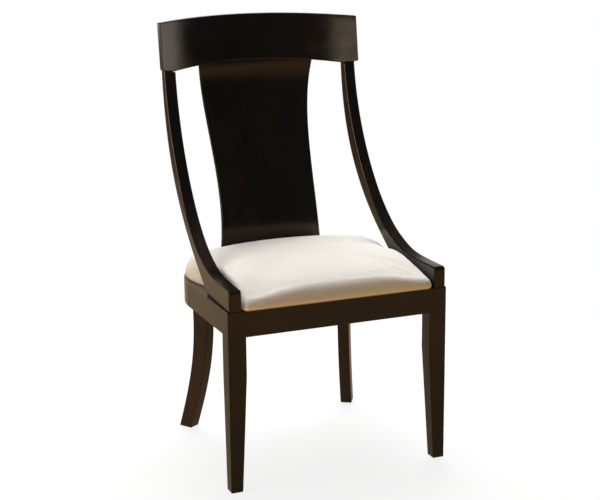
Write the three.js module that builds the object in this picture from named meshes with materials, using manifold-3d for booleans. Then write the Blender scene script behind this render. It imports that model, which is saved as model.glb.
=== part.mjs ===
// Klismos dining chair: a bowed crest rail and a waisted back splat, two arms that sweep down
// from the crest to the seat frame, tapered front legs, sabre rear legs and a crowned slip seat.
// Millimetres, +Z up. The chair faces -Y, and left and right are as seen from its front.

import * as THREE from "three";
import { mergeGeometries, mergeVertices } from "three/addons/utils/BufferGeometryUtils.js";
import Module from "manifold-3d";

const wasm = await Module();
wasm.setup();

// Clearances
const fit = 0.3; // between a piece and the pocket, hole or neighbour it sits in
const overrun = 5; // how far a cutting shape runs past what it cuts

// Seat frame: heights
const railTop = 416;
const frontRailHeight = 59;
const sideRailHeight = 55;

// Seat frame: plan, measured from the front face of the front rail
const seatWidth = 530;
const seatDepth = 447;
const frontRailThickness = 25;
const sideRailThickness = 26;
const sideCurveDepth = 180; // how far before the rear of the frame its sides start to curve in
const sideRadius = 215;
const sideTurn = THREE.MathUtils.degToRad(24);
const cornerRadius = 45;
const rearRadius = 900;
const railJointInset = 115; // from the side of the frame to the joint of side rail and rear rail

// Front legs
const legWidth = 42;
const legDepth = 39;
const footWidth = 28;
const footDepth = 29;
const taperHeight = 268;

// Rear legs: the section's front outer corner is this far in from the frame's side and rear
const rearLegInset = 75;
const rearLegSetback = 76;
const rearLegTurn = THREE.MathUtils.degToRad(32);
const rearLegWidth = 29;
const rearLegDepth = 44;
const rearFootDepth = 37;
const rearFootSweep = 58;
const rearLegPostDrop = 5; // the post inside the frame stops this far under the rail's top
const sabreShares = [[-0.11, 0.6], [0.16, 0.4]]; // handles, of the sweep and of the height

// Glides
const glideRadius = 10;
const glideHeight = 5;
const glideProud = 1;

// Arms
const armInset = 3.3; // the arm's outer face stands in from the leg's
const armThickness = 29;
const armHeadInset = 6.3; // the arm's head stands in from the crest rail's end
const armNoseHeight = 47.5;
const armNoseRadius = 8;
const armHeelRun = 157; // how far the arm's flat foot runs back on the side rail
const armHeadSetback = 11.5; // the arm's head stands back from the crest rail's lower front end
const armHeadDepth = 23;
const armBendRun = 205; // where the top edge's level foot turns up into the long sweep
const armBendRise = 76.7;
const armFootShares = [[0.623, 0.089], [0.695, 0.106]]; // handles, from the nose to the bend
const armSweepShares = [[0.417, 0.114], [0.911, 0.528]]; // handles, from the bend to the head
const armBackShares = [[0.511, 0.226], [0.949, 0.469]]; // handles, from the heel to the head

// Crest rail
const crestInset = 10.5; // the crest rail's end stands in from the side of the seat frame
const crestSag = 64; // how far the middle lies behind the ends
const crestThickness = 22;
const crestEndHeight = 110.5;
const crestEndBottom = 889.5;
const crestLean = 14; // backwards, over the height of its end
const crestFrontRun = 448.5; // front face of the seat frame to the crest's lower front end
const crestCrown = 10.5; // rise of the top edge at the middle
const crestLobeInset = 32.5; // from the end to the lowest point of the underside
const crestLobeDrop = 5;
const crestArch = 15.3; // rise of the underside between the lobes
const crestCornerRadius = 4;
const crestSteps = 28;

// Back splat
const splatThickness = 12;
const splatFootInset = 16.5; // from the rear of the seat frame to the splat's front
const splatHeadSetback = 3; // from the crest rail's front to the splat's
const splatFootMargin = 16; // from the joints at the rear rail's ends to the splat's foot
const splatSpread = 26.5; // how much wider its head is than its foot
const splatGroove = 8; // how deep its ends are let into the rails
const splatCurveShares = [[-0.38, 0.366], [1.4, 0.698]];
const splatWaistShares = [[0.797, 0.304], [0.842, 0.603]]; // of half the head's width
const splatSteps = 16;

// Corner blocks
const blockHeight = 40;
const blockDrop = 4;
const blockLeg = 45; // how far a front block runs along each rail
const rearBlockTurn = THREE.MathUtils.degToRad(50);
const rearBlockThickness = 20; // in front of the leg's post

// Dowels and screws
const dowelRadius = 5;
const dowelLength = 32;
const headDowelRadius = 4;
const armDowelShares = [0.08, 0.52, 0.85]; // of the arm's heel run
const dowelEdge = 16; // from the edge of a rail to a dowel's axis
const headDowelPitch = 13;
const screwRadius = 2.2;
const screwHeadRadius = 4.5;
const screwHeadHeight = 3;
const screwPoint = 5;
const screwReach = 8; // how far a seat screw bites into the seat board
const blockScrewLength = 52;
const seatScrewSetback = 13; // from a front block's rail face to its seat screw
const rearSeatScrewSlip = 30; // along a rear block, from its leg screw to its seat screw

// Slip seat
const boardThickness = 12;
const boardInset = 2.5; // inside the pad's skin
const padSideInset = 10; // inside the seat frame's straight sides
const padWidestLag = 40; // the pad is widest this far behind where those sides start to curve
const padSideRadius = 150;
const padFrontBulge = 8;
const padFrontCorner = 13;
const padArmGap = 0.6;
const padNotchLag = 43; // the pad's notch for the arm ends this far behind the arm's heel
const padSwellShares = [[0.17, 0.13], [0.95, 0.52]];
const padRearGap = 3.5; // in front of the splat's foot, which leans forward above the rail
const padRearCorner = 42;
const padShoulderHeight = 47.6;
const padShoulderRun = 25; // how far in from its outline the pad's edge rounds over
const padArmShoulderRun = 10; // the same where the arms press on it
const padArmShoulderRise = 9.5;
const padArmPressRun = 150;
const padSideShoulderRun = 34; // the same at its widest
const padShoulderReach = 75; // how far along the pad the last two fade out
const padRearRise = 9; // the rear edge over the front edge
const padCornerDip = 15; // of the front corners
const padCornerReach = 78; // of that dip, along the front
const padCornerArmReach = 42; // of that dip, along the arms
const padDome = 22;
const padCentreRun = 225;
const coverThickness = 1.5;
const padShoulderAngles = [0, 20, 40, 60, 75, 90].map(THREE.MathUtils.degToRad);
const padDomeShares = [0.84, 0.66, 0.46, 0.24];

// Dust cover under the seat board
const dustThickness = 0.6;
const dustInset = 4;
const dustCornerCut = 75;

const half = seatWidth / 2;
const frontRailBottom = railTop - frontRailHeight;
const sideRailBottom = railTop - sideRailHeight;
const sideStraight = seatDepth - sideCurveDepth;
const railJointOffset = half - railJointInset;
const rearLegX = half - rearLegInset;
const rearLegY = seatDepth - rearLegSetback;
const crestHalf = half - crestInset;
const crestLobeOffset = crestHalf - crestLobeInset;
const bowRadius = (crestHalf ** 2 + crestSag ** 2) / (2 * crestSag);
const crestBottomMiddle = crestEndBottom - crestLobeDrop + crestArch;
const splatFootWidth = 2 * (railJointOffset - splatFootMargin);
const splatHeadWidth = splatFootWidth + splatSpread;
const splatFootRun = seatDepth - splatFootInset;
const splatHeadRun = crestFrontRun + crestSag + splatHeadSetback;
const armOuter = half - armInset;
const armRun = crestFrontRun + armHeadSetback;
const armTurn = Math.atan((armOuter - crestHalf + armHeadInset) / armRun);
const postTop = railTop - rearLegPostDrop;
const blockTop = railTop - blockDrop;
const blockBottom = blockTop - blockHeight;
const blockMiddle = blockTop - blockHeight / 2;
const padWidth = seatWidth - 2 * padSideInset;
const padWidestRun = sideStraight + padWidestLag;
const padNotchRun = armHeelRun + padNotchLag;
const padTop = railTop + padShoulderHeight + padDome;

const wood = new THREE.MeshStandardMaterial({ color: 0x2b1c15, roughness: 0.32, metalness: 0 });
const rawWood = new THREE.MeshStandardMaterial({ color: 0xb08b5e, roughness: 0.75, metalness: 0 });
const plywood = new THREE.MeshStandardMaterial({ color: 0xc2a276, roughness: 0.8, metalness: 0 });
const foam = new THREE.MeshStandardMaterial({ color: 0xe8dfae, roughness: 0.95, metalness: 0 });
const cloth = new THREE.MeshStandardMaterial({ color: 0xe9e3d8, roughness: 0.9, metalness: 0 });
const cambric = new THREE.MeshStandardMaterial({ color: 0x17171a, roughness: 0.9, metalness: 0 });
const steel = new THREE.MeshStandardMaterial({ color: 0x9a9a94, roughness: 0.35, metalness: 1 });
const nylon = new THREE.MeshStandardMaterial({ color: 0x20201f, roughness: 0.5, metalness: 0 });

// Solids

function welded(geometry) {
  const plain = geometry.clone();
  plain.deleteAttribute("normal");
  plain.deleteAttribute("uv");
  return mergeVertices(plain);
}

function solid(geometry) {
  const mesh = welded(geometry);
  return new wasm.Manifold(new wasm.Mesh({
    numProp: 3,
    vertProperties: mesh.attributes.position.array,
    triVerts: Uint32Array.from(mesh.index.array),
  }));
}

function surface(body) {
  const { vertProperties, triVerts } = body.getMesh();
  const geometry = new THREE.BufferGeometry();
  geometry.setAttribute("position", new THREE.BufferAttribute(vertProperties, 3));
  geometry.setIndex(new THREE.BufferAttribute(triVerts, 1));
  return geometry;
}

function cut(geometry, tools) {
  return surface(tools.reduce((body, tool) => body.subtract(solid(tool)), solid(geometry)));
}

function overlap(first, second) {
  return surface(solid(first).intersect(solid(second)));
}

function mirrored(geometry) {
  const flipped = welded(geometry).scale(-1, 1, 1);
  const index = flipped.index.array;
  for (let corner = 0; corner < index.length; corner += 3) {
    [index[corner], index[corner + 1]] = [index[corner + 1], index[corner]];
  }
  return flipped;
}

// Extrusions of an outline drawn as seen from above, from the front or from the side

function planCut(points, bottom, top) {
  const shape = new THREE.Shape(points);
  const geometry = new THREE.ExtrudeGeometry(shape, { depth: top - bottom, bevelEnabled: false });
  return geometry.translate(0, 0, bottom);
}

function frontCut(shape, near, far, curveSegments = 12) {
  const options = { depth: far - near, bevelEnabled: false, curveSegments };
  return new THREE.ExtrudeGeometry(shape, options).rotateX(Math.PI / 2).translate(0, far, 0);
}

function sideCut(shape, left, right, curveSegments = 12, steps = 1) {
  const options = { depth: right - left, bevelEnabled: false, curveSegments, steps };
  const axes = new THREE.Matrix4().makeBasis(
    new THREE.Vector3(0, 1, 0),
    new THREE.Vector3(0, 0, 1),
    new THREE.Vector3(1, 0, 0),
  );
  return new THREE.ExtrudeGeometry(shape, options).applyMatrix4(axes).translate(left, 0, 0);
}

function polygon(points) {
  return new THREE.Shape(points.map(([across, up]) => new THREE.Vector2(across, up)));
}

// A cubic Bezier whose handles are given as shares of the way from start to end
function sweepTo(path, start, end, shares) {
  const handles = shares.flatMap(([across, up]) => [
    THREE.MathUtils.lerp(start[0], end[0], across),
    THREE.MathUtils.lerp(start[1], end[1], up),
  ]);
  path.bezierCurveTo(...handles, ...end);
}

function bowDrop(across) {
  return bowRadius - Math.sqrt(bowRadius ** 2 - across ** 2);
}

// Bends a straight piece to the crest's curve: its ends come forward
function bowed(geometry) {
  const place = geometry.attributes.position;
  for (let corner = 0; corner < place.count; corner += 1) {
    place.setY(corner, place.getY(corner) - bowDrop(place.getX(corner)));
  }
  return geometry;
}

// Plan outlines: arcs that share their angles, so an inset outline keeps the same points

function arc(centre, radius, from, to, steps) {
  return Array.from({ length: steps + 1 }, (_, step) => {
    const angle = THREE.MathUtils.lerp(from, to, step / steps);
    return new THREE.Vector2(Math.cos(angle), Math.sin(angle)).multiplyScalar(radius).add(centre);
  });
}

// Centre of the arc that rounds the corner between the side's straight run and the rear arc
function cornerCentre(sideCentre, radius, corner, rearCentre, rear) {
  const outward = new THREE.Vector2(Math.cos(sideTurn), Math.sin(sideTurn));
  const along = new THREE.Vector2(-outward.y, outward.x);
  const start = sideCentre.clone().addScaledVector(outward, radius - corner);
  const reach = start.clone().sub(rearCentre);
  const lead = reach.dot(along);
  const travel = -lead + Math.sqrt(lead ** 2 - reach.lengthSq() + (rear - corner) ** 2);
  return start.addScaledVector(along, travel);
}

// Centre of the arc that rounds the corner between the side's arc and the rear arc
function betweenArcs(sideCentre, radius, corner, rearCentre, rear) {
  const reach = sideCentre.clone().sub(rearCentre);
  const near = radius - corner;
  const far = rear - corner;
  const along = (far ** 2 - near ** 2 + reach.lengthSq()) / (2 * reach.length());
  const across = Math.sqrt(far ** 2 - along ** 2);
  const forward = reach.normalize();
  const place = forward.clone().multiplyScalar(along).add(rearCentre);
  return place.addScaledVector(new THREE.Vector2(forward.y, -forward.x), across);
}

const sideCentre = new THREE.Vector2(half - sideRadius, sideStraight);
const rearCentre = new THREE.Vector2(0, seatDepth - rearRadius);
const frameCorner = cornerCentre(sideCentre, sideRadius, cornerRadius, rearCentre, rearRadius);
const bowStart = frameCorner.clone().sub(rearCentre).angle();
const jointAngle = Math.acos(railJointOffset / rearRadius);

function frameSide(inset, run, end = jointAngle) {
  return [
    new THREE.Vector2(half - inset, run),
    ...arc(sideCentre, sideRadius - inset, 0, sideTurn, 6),
    ...arc(frameCorner, cornerRadius - inset, sideTurn, bowStart, 5),
    ...arc(rearCentre, rearRadius - inset, bowStart, end, 2).slice(1),
  ];
}

function frameWhole(inset, run) {
  const right = frameSide(inset, run, Math.PI / 2);
  const left = right.slice(0, -1).reverse().map((point) => new THREE.Vector2(-point.x, point.y));
  return [...right, ...left];
}

// Dowels and screws, each a start, a direction and a length

function aimed(geometry, start, direction) {
  const turn = new THREE.Quaternion().setFromUnitVectors(
    new THREE.Vector3(0, 1, 0),
    direction.clone().normalize(),
  );
  return geometry.applyQuaternion(turn).translate(start.x, start.y, start.z);
}

function rod({ start, direction, length, radius }, grow = 0) {
  const geometry = new THREE.CylinderGeometry(radius + grow, radius + grow, length + 2 * grow, 12);
  geometry.translate(0, length / 2, 0);
  return aimed(geometry, start, direction);
}

function dowel(middle, direction, length = dowelLength, radius = dowelRadius) {
  const start = middle.clone().addScaledVector(direction, -length / 2);
  return { start, direction, length, radius };
}

function mirroredPin(pin) {
  const flip = new THREE.Vector3(-1, 1, 1);
  const start = pin.start.clone().multiply(flip);
  const direction = pin.direction.clone().multiply(flip);
  return { ...pin, start, direction };
}

function screwBody(pin) {
  const profile = [
    [0, -screwHeadHeight - fit],
    [screwHeadRadius, -screwHeadHeight - fit],
    [screwHeadRadius, -fit],
    [screwRadius, -fit],
    [screwRadius, pin.length - screwPoint],
    [0, pin.length],
  ];
  const points = profile.map(([radius, along]) => new THREE.Vector2(radius, along));
  return aimed(new THREE.LatheGeometry(points, 10), pin.start, pin.direction);
}

const bothSides = (pins) => [...pins, ...pins.map(mirroredPin)];
const holes = (pins) => pins.map((pin) => rod(pin, fit));

const towards = {
  x: new THREE.Vector3(1, 0, 0),
  y: new THREE.Vector3(0, 1, 0),
  z: new THREE.Vector3(0, 0, 1),
};
const dowelHeights = [railTop - dowelEdge, sideRailBottom + dowelEdge];

const frontRailDowels = dowelHeights.map((height) =>
  dowel(new THREE.Vector3(half - legWidth, frontRailThickness / 2, height), towards.x));

const sideRailDowels = dowelHeights.map((height) =>
  dowel(new THREE.Vector3(half - sideRailThickness / 2, legDepth, height), towards.y));

const rearJoint = new THREE.Vector2(Math.cos(jointAngle), Math.sin(jointAngle));
const rearRailDowels = dowelHeights.map((height) => {
  const place = rearJoint.clone().multiplyScalar(rearRadius - sideRailThickness / 2).add(rearCentre);
  const middle = new THREE.Vector3(place.x, place.y, height);
  return dowel(middle, new THREE.Vector3(-rearJoint.y, rearJoint.x, 0));
});

const armMiddle = (run) => armOuter - armThickness / (2 * Math.cos(armTurn)) - run * Math.tan(armTurn);
const armDowels = armDowelShares.map((share) => {
  const run = share * armHeelRun;
  return dowel(new THREE.Vector3(armMiddle(run), run, railTop), towards.z);
});

const crestSeat = crestEndBottom - crestLobeDrop / 2;
const crestDowels = [-headDowelPitch / 2, headDowelPitch / 2].map((offset) => {
  const run = armRun + armHeadDepth / 2;
  const middle = new THREE.Vector3(armMiddle(run) + offset, run, crestSeat);
  return dowel(middle, towards.z, dowelLength, headDowelRadius);
});

const frontBlockInner = half - legWidth - fit;
const frontBlockOuter = half - sideRailThickness - fit;
const frontBlockNear = frontRailThickness + fit;
const frontBlockShoulder = legDepth + fit;
const frontBlockFace = new THREE.Vector3(
  (frontBlockInner - blockLeg + frontBlockOuter) / 2,
  (frontBlockNear + frontBlockShoulder + blockLeg) / 2,
  blockMiddle,
);
const frontBlockOut = new THREE.Vector3(
  frontBlockShoulder + blockLeg - frontBlockNear,
  frontBlockInner - blockLeg - frontBlockOuter,
  0,
).normalize();
const rearBlockOut = new THREE.Vector3(Math.cos(rearBlockTurn), Math.sin(rearBlockTurn), 0);
const rearBlockAlong = new THREE.Vector3(rearBlockOut.y, -rearBlockOut.x, 0);
const rearPostFace = new THREE.Vector3(rearLegX, rearLegY, blockMiddle)
  .addScaledVector(new THREE.Vector3(-Math.cos(rearLegTurn), Math.sin(rearLegTurn), 0), rearLegWidth / 2);
const rearBlockFace = rearPostFace.clone().addScaledVector(rearBlockOut, -rearBlockThickness);

const blockScrews = [
  {
    start: frontBlockFace,
    direction: frontBlockOut,
    length: blockScrewLength,
    radius: screwRadius,
  },
  {
    start: rearBlockFace,
    direction: rearBlockOut,
    length: blockScrewLength,
    radius: screwRadius,
  },
];

const seatScrewLength = railTop + screwReach - blockBottom;
const seatScrewPlaces = [
  new THREE.Vector3(frontBlockInner - blockLeg / 2, frontBlockNear + seatScrewSetback, blockBottom),
  rearBlockFace.clone()
    .addScaledVector(rearBlockOut, rearBlockThickness / 2)
    .addScaledVector(rearBlockAlong, rearSeatScrewSlip)
    .setZ(blockBottom),
];
const seatScrews = seatScrewPlaces.map((start) => (
  { start, direction: towards.z, length: seatScrewLength, radius: screwRadius }));

// Seat frame

function frontRail() {
  const reach = half - legWidth;
  const bar = planCut([
    new THREE.Vector2(-reach, 0),
    new THREE.Vector2(reach, 0),
    new THREE.Vector2(reach, frontRailThickness),
    new THREE.Vector2(-reach, frontRailThickness),
  ], frontRailBottom, railTop);
  return cut(bar, holes(bothSides(frontRailDowels)));
}

function sideRail() {
  const outline = [...frameSide(0, legDepth), ...frameSide(sideRailThickness, legDepth).reverse()];
  const bar = planCut(outline, sideRailBottom, railTop);
  return cut(bar, holes([...sideRailDowels, ...rearRailDowels, ...armDowels, ...blockScrews]));
}

function rearRail() {
  const joint = jointAngle + fit / rearRadius;
  const outer = arc(rearCentre, rearRadius, joint, Math.PI - joint, 12);
  const inner = arc(rearCentre, rearRadius - sideRailThickness, joint, Math.PI - joint, 12);
  const bar = planCut([...outer, ...inner.reverse()], sideRailBottom, railTop);
  return cut(bar, [...holes(bothSides(rearRailDowels)), splat(fit)]);
}

function frontLeg() {
  const inner = half - legWidth;
  const front = polygon([
    [half, glideProud],
    [half, railTop],
    [inner, railTop],
    [inner, taperHeight],
    [half - footWidth, glideProud],
  ]);
  const side = polygon([
    [0, glideProud],
    [footDepth, glideProud],
    [legDepth, taperHeight],
    [legDepth, railTop],
    [0, railTop],
  ]);
  const leg = overlap(frontCut(front, 0, legDepth), sideCut(side, inner, half));
  const pins = [...frontRailDowels, ...sideRailDowels, ...armDowels, ...blockScrews];
  return cut(leg, [...holes(pins), glideRecess(frontFoot)]);
}

// The sabre leg in its own frame: its front outer corner on the Z axis, its depth along +Y
function rearLegBlank(grow = 0) {
  const side = new THREE.Shape();
  const top = postTop + grow;
  const ankle = [rearFootSweep - grow, glideProud];
  const heel = [rearFootSweep + rearFootDepth + grow, glideProud];
  const knee = [-grow, sideRailBottom];
  const calf = [rearLegDepth + grow, sideRailBottom];
  const sabre = ([sweep, rise]) => [sweep * rearFootSweep, rise * sideRailBottom];
  const handles = sabreShares.map(sabre);
  const back = rearLegDepth - (rearLegDepth - rearFootDepth) / 2;
  side.moveTo(-grow, top);
  side.lineTo(...knee);
  side.bezierCurveTo(...handles[0], ...handles[1], ...ankle);
  side.lineTo(...heel);
  side.bezierCurveTo(handles[1][0] + back, handles[1][1], handles[0][0] + back, handles[0][1], ...calf);
  side.lineTo(rearLegDepth + grow, top);
  return sideCut(side, -rearLegWidth - grow, grow, 10)
    .rotateZ(-rearLegTurn)
    .translate(rearLegX, rearLegY, 0);
}

// The rails' band in plan, from just under them up: what the rear legs are notched around
function railBand() {
  const outer = frameSide(-overrun, legDepth, Math.PI / 2);
  const inner = frameSide(sideRailThickness + fit, legDepth, Math.PI / 2);
  return planCut([...outer, ...inner.reverse()], sideRailBottom, railTop + overrun);
}

function rearLeg() {
  return cut(rearLegBlank(), [railBand(), ...holes([blockScrews[1]]), glideRecess(rearFoot)]);
}

// Corner blocks

function frontBlock() {
  const block = planCut([
    new THREE.Vector2(frontBlockInner - blockLeg, frontBlockNear),
    new THREE.Vector2(frontBlockInner, frontBlockNear),
    new THREE.Vector2(frontBlockInner, frontBlockShoulder),
    new THREE.Vector2(frontBlockOuter, frontBlockShoulder),
    new THREE.Vector2(frontBlockOuter, frontBlockShoulder + blockLeg),
  ], blockBottom, blockTop);
  return cut(block, holes([blockScrews[0], seatScrews[0]]));
}

function rearBlock() {
  const inside = planCut(frameWhole(sideRailThickness + fit, legDepth), blockBottom, blockTop);
  const wide = new THREE.BoxGeometry(seatWidth, seatWidth, seatWidth)
    .translate(seatWidth / 2, 0, 0)
    .rotateZ(rearBlockTurn)
    .translate(rearBlockFace.x, rearBlockFace.y, railTop);
  return cut(overlap(inside, wide), [rearLegBlank(fit), ...holes([blockScrews[1], seatScrews[1]])]);
}

// Glides

const frontFoot = new THREE.Vector3(half - footWidth / 2, footDepth / 2, 0);
const rearFoot = new THREE.Vector3(-rearLegWidth / 2, rearFootSweep + rearFootDepth / 2, 0)
  .applyAxisAngle(towards.z, -rearLegTurn)
  .add(new THREE.Vector3(rearLegX, rearLegY, 0));

function glideRecess(foot) {
  return new THREE.CylinderGeometry(glideRadius + fit, glideRadius + fit, glideHeight, 20)
    .rotateX(Math.PI / 2)
    .translate(foot.x, foot.y, glideHeight / 2 + fit);
}

function glide() {
  return new THREE.CylinderGeometry(glideRadius, glideRadius, glideHeight, 20)
    .rotateX(Math.PI / 2)
    .translate(0, 0, glideHeight / 2);
}

// Back

function crestOutline(drop = 0) {
  const top = crestEndBottom + crestEndHeight;
  const bottom = crestEndBottom - drop;
  const lobe = bottom - crestLobeDrop;
  const round = crestCornerRadius;
  const shape = new THREE.Shape();
  shape.moveTo(-crestHalf, bottom);
  shape.lineTo(-crestLobeOffset, lobe);
  shape.quadraticCurveTo(0, lobe + 2 * crestArch, crestLobeOffset, lobe);
  shape.lineTo(crestHalf, bottom);
  shape.lineTo(crestHalf, top - round);
  shape.quadraticCurveTo(crestHalf, top, crestHalf - round, top);
  shape.quadraticCurveTo(0, top + 2 * crestCrown, round - crestHalf, top);
  shape.quadraticCurveTo(-crestHalf, top, -crestHalf, top - round);
  return shape;
}

function crestRail() {
  const slope = crestLean / crestEndHeight;
  const front = crestFrontRun + crestSag;
  const base = crestEndBottom - crestLobeDrop - overrun;
  const top = crestEndBottom + crestEndHeight + crestCrown + overrun;
  const near = (height) => front + slope * (height - crestEndBottom);
  const section = polygon([
    [near(base), base],
    [near(base) + crestThickness, base],
    [near(top) + crestThickness, top],
    [near(top), top],
  ]);
  const reach = crestHalf + overrun;
  const bar = bowed(sideCut(section, -reach, reach, 1, crestSteps));
  const view = frontCut(crestOutline(), front - 2 * crestSag, front + 2 * crestSag, 14);
  return cut(overlap(bar, view), [splat(fit), ...holes(bothSides(crestDowels))]);
}

function splatOutline(grow) {
  const foot = railTop - splatGroove - grow;
  const footHalf = splatFootWidth / 2 + grow;
  const headHalf = splatHeadWidth / 2 + grow;
  const rise = crestEndBottom - railTop;
  const waist = splatWaistShares.map(([width, height]) => [width * headHalf, railTop + height * rise]);
  const arch = (across) => crestBottomMiddle - crestArch * (across / crestLobeOffset) ** 2;
  const shoulder = arch(headHalf) + splatGroove + grow;
  const crown = 2 * (arch(0) + splatGroove + grow) - shoulder;
  const shape = new THREE.Shape();
  shape.moveTo(-footHalf, foot);
  shape.lineTo(footHalf, foot);
  shape.lineTo(footHalf, railTop);
  shape.bezierCurveTo(...waist[0], ...waist[1], headHalf, crestEndBottom);
  shape.lineTo(headHalf, shoulder);
  shape.quadraticCurveTo(0, crown, -headHalf, shoulder);
  shape.lineTo(-headHalf, crestEndBottom);
  shape.bezierCurveTo(-waist[1][0], waist[1][1], -waist[0][0], waist[0][1], -footHalf, railTop);
  return shape;
}

function splat(grow = 0) {
  const foot = railTop - splatGroove - overrun;
  const head = crestBottomMiddle + splatGroove + overrun;
  const run = splatHeadRun - splatFootRun;
  const rise = crestEndBottom - railTop;
  const handles = splatCurveShares.map(([back, up]) => [splatFootRun + back * run, railTop + up * rise]);
  const front = -grow;
  const rear = splatThickness + grow;
  const section = new THREE.Shape();
  section.moveTo(splatFootRun + front, foot);
  section.lineTo(splatFootRun + rear, foot);
  section.lineTo(splatFootRun + rear, railTop);
  section.bezierCurveTo(
    handles[0][0] + rear, handles[0][1],
    handles[1][0] + rear, handles[1][1],
    splatHeadRun + rear, crestEndBottom,
  );
  section.lineTo(splatHeadRun + rear, head);
  section.lineTo(splatHeadRun + front, head);
  section.lineTo(splatHeadRun + front, crestEndBottom);
  section.bezierCurveTo(
    handles[1][0] + front, handles[1][1],
    handles[0][0] + front, handles[0][1],
    splatFootRun + front, railTop,
  );
  const reach = splatHeadWidth / 2 + overrun;
  const sheet = bowed(sideCut(section, -reach, reach, 14, splatSteps));
  const view = frontCut(splatOutline(grow), splatFootRun - crestSag, splatHeadRun + crestSag, 14);
  return overlap(sheet, view);
}

function arm() {
  const rise = crestEndBottom - railTop;
  const nose = [0, armNoseHeight];
  const bend = [armBendRun, armBendRise];
  const head = [armRun, rise];
  const heel = [armHeelRun, 0];
  const nape = [armRun + armHeadDepth, rise];
  const side = new THREE.Shape();
  side.moveTo(0, 0);
  side.lineTo(...heel);
  sweepTo(side, heel, nape, armBackShares);
  side.lineTo(...head);
  const downSweep = armSweepShares.map(([run, up]) => [1 - run, 1 - up]).reverse();
  const downFoot = armFootShares.map(([run, up]) => [1 - run, 1 - up]).reverse();
  sweepTo(side, head, bend, downSweep);
  sweepTo(side, bend, [armNoseRadius, nose[1]], downFoot);
  side.quadraticCurveTo(...nose, 0, nose[1] - armNoseRadius);
  const bar = sideCut(side, -armThickness, 0, 16)
    .rotateZ(armTurn)
    .translate(armOuter, 0, railTop);
  const crest = frontCut(crestOutline(fit), 0, splatHeadRun + crestSag, 14);
  return cut(bar, [crest, ...holes([...armDowels, ...crestDowels])]);
}

// Slip seat

const padFront = -padFrontBulge;
const padRear = splatFootRun - padRearGap;
const padBow = bowRadius - padRearGap;
const padBowCentre = new THREE.Vector2(0, padRear - padBow);
const padSideCentre = new THREE.Vector2(padWidth / 2 - padSideRadius, padWidestRun);
const padCorner = betweenArcs(padSideCentre, padSideRadius, padRearCorner, padBowCentre, padBow);
const armInner = (run) => armOuter - armThickness / Math.cos(armTurn) - run * Math.tan(armTurn) - padArmGap;

// The pad's widest outline: between the arms, then out behind them and round the back
function padPlan() {
  const corner = new THREE.Vector2(armInner(0) - padFrontCorner, padFront + padFrontCorner);
  const notch = [armInner(padNotchRun), padNotchRun];
  const widest = [padWidth / 2, padWidestRun];
  const swell = new THREE.Path().moveTo(...notch);
  sweepTo(swell, notch, widest, padSwellShares);
  const turnTo = padCorner.clone().sub(padSideCentre).angle();
  const bowFrom = padCorner.clone().sub(padBowCentre).angle();
  const right = [
    ...[0, 0.3, 0.6, 0.85].map((share) => new THREE.Vector2(share * corner.x, padFront)),
    ...arc(corner, padFrontCorner, -Math.PI / 2, 0, 4),
    ...[0.3, 0.6].map((share) => new THREE.Vector2(armInner(share * padNotchRun), share * padNotchRun)),
    ...swell.getPoints(6),
    ...arc(padSideCentre, padSideRadius, 0, turnTo, 3).slice(1),
    ...arc(padCorner, padRearCorner, turnTo, bowFrom, 4).slice(1),
    ...arc(padBowCentre, padBow, bowFrom, Math.PI / 2, 5).slice(1),
  ];
  const left = right.slice(1, -1).reverse().map((point) => new THREE.Vector2(-point.x, point.y));
  return [...right, ...left];
}

// The shoulder at one point of the outline: how far it runs in, and its rise over the middle's
function padShoulder(point) {
  const fade = (away, reach) => Math.exp(-((away / reach) ** 2));
  const press = fade(point.y - padArmPressRun, padShoulderReach);
  const swell = fade(point.y - padWidestRun, padShoulderReach);
  const across = (armInner(0) - Math.abs(point.x)) / padCornerReach;
  const along = (point.y - padFront) / padCornerArmReach;
  const run = padShoulderRun
    + press * (padArmShoulderRun - padShoulderRun)
    + swell * (padSideShoulderRun - padShoulderRun);
  const rise = padRearRise * (point.y / padRear - 1 / 2)
    + press * padArmShoulderRise
    - padCornerDip * fade(Math.hypot(across, along), 1);
  return { run, rise };
}

// The pad's skin, less a wall, at an angle up its shoulder and a share of the way from the middle
function padPoint(point, wall, angle, kept) {
  const middle = new THREE.Vector2(0, padCentreRun);
  const { run, rise } = padShoulder(point);
  const drawn = wall + run * (1 - Math.cos(angle));
  const place = middle.clone().lerp(point, kept * (1 - drawn / point.distanceTo(middle)));
  const shoulder = (padShoulderHeight + rise * kept ** 2 - wall) * Math.sin(angle);
  return new THREE.Vector3(place.x, place.y, railTop + shoulder + padDome * (1 - kept ** 3));
}

function padRing(wall, angle, kept) {
  return padPlan().map((point) => padPoint(point, wall, angle, kept));
}

// The outline at the board's top, where the shoulder is already drawn in
function boardRing(wall) {
  return padPlan().map((point) => {
    const angle = Math.asin(boardThickness / (padShoulderHeight + padShoulder(point).rise));
    return padPoint(point, wall, angle, 1);
  });
}

// The pad's skin from its lower rim over the crown, drawn in by a wall
function padRings(wall) {
  return [
    ...padShoulderAngles.map((angle) => padRing(wall, angle, 1)),
    ...padDomeShares.map((share) => padRing(wall, Math.PI / 2, share)),
  ];
}

// Closes rings of equal length into one surface: walls between them, and an end fan
function ringSurface(rings, apex, base) {
  const count = rings[0].length;
  const corners = rings.flat();
  const faces = [];
  for (let ring = 0; ring < rings.length - 1; ring += 1) {
    for (let step = 0; step < count; step += 1) {
      const here = ring * count + step;
      const next = ring * count + ((step + 1) % count);
      faces.push(here, next, next + count, here, next + count, here + count);
    }
  }
  const last = (rings.length - 1) * count;
  for (let step = 0; step < count; step += 1) {
    const next = (step + 1) % count;
    faces.push(last + step, last + next, corners.length);
    if (base) faces.push(next, step, corners.length + 1);
  }
  const geometry = new THREE.BufferGeometry();
  geometry.setFromPoints(base ? [...corners, apex, base] : [...corners, apex]);
  geometry.setIndex(faces);
  return geometry;
}

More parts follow.
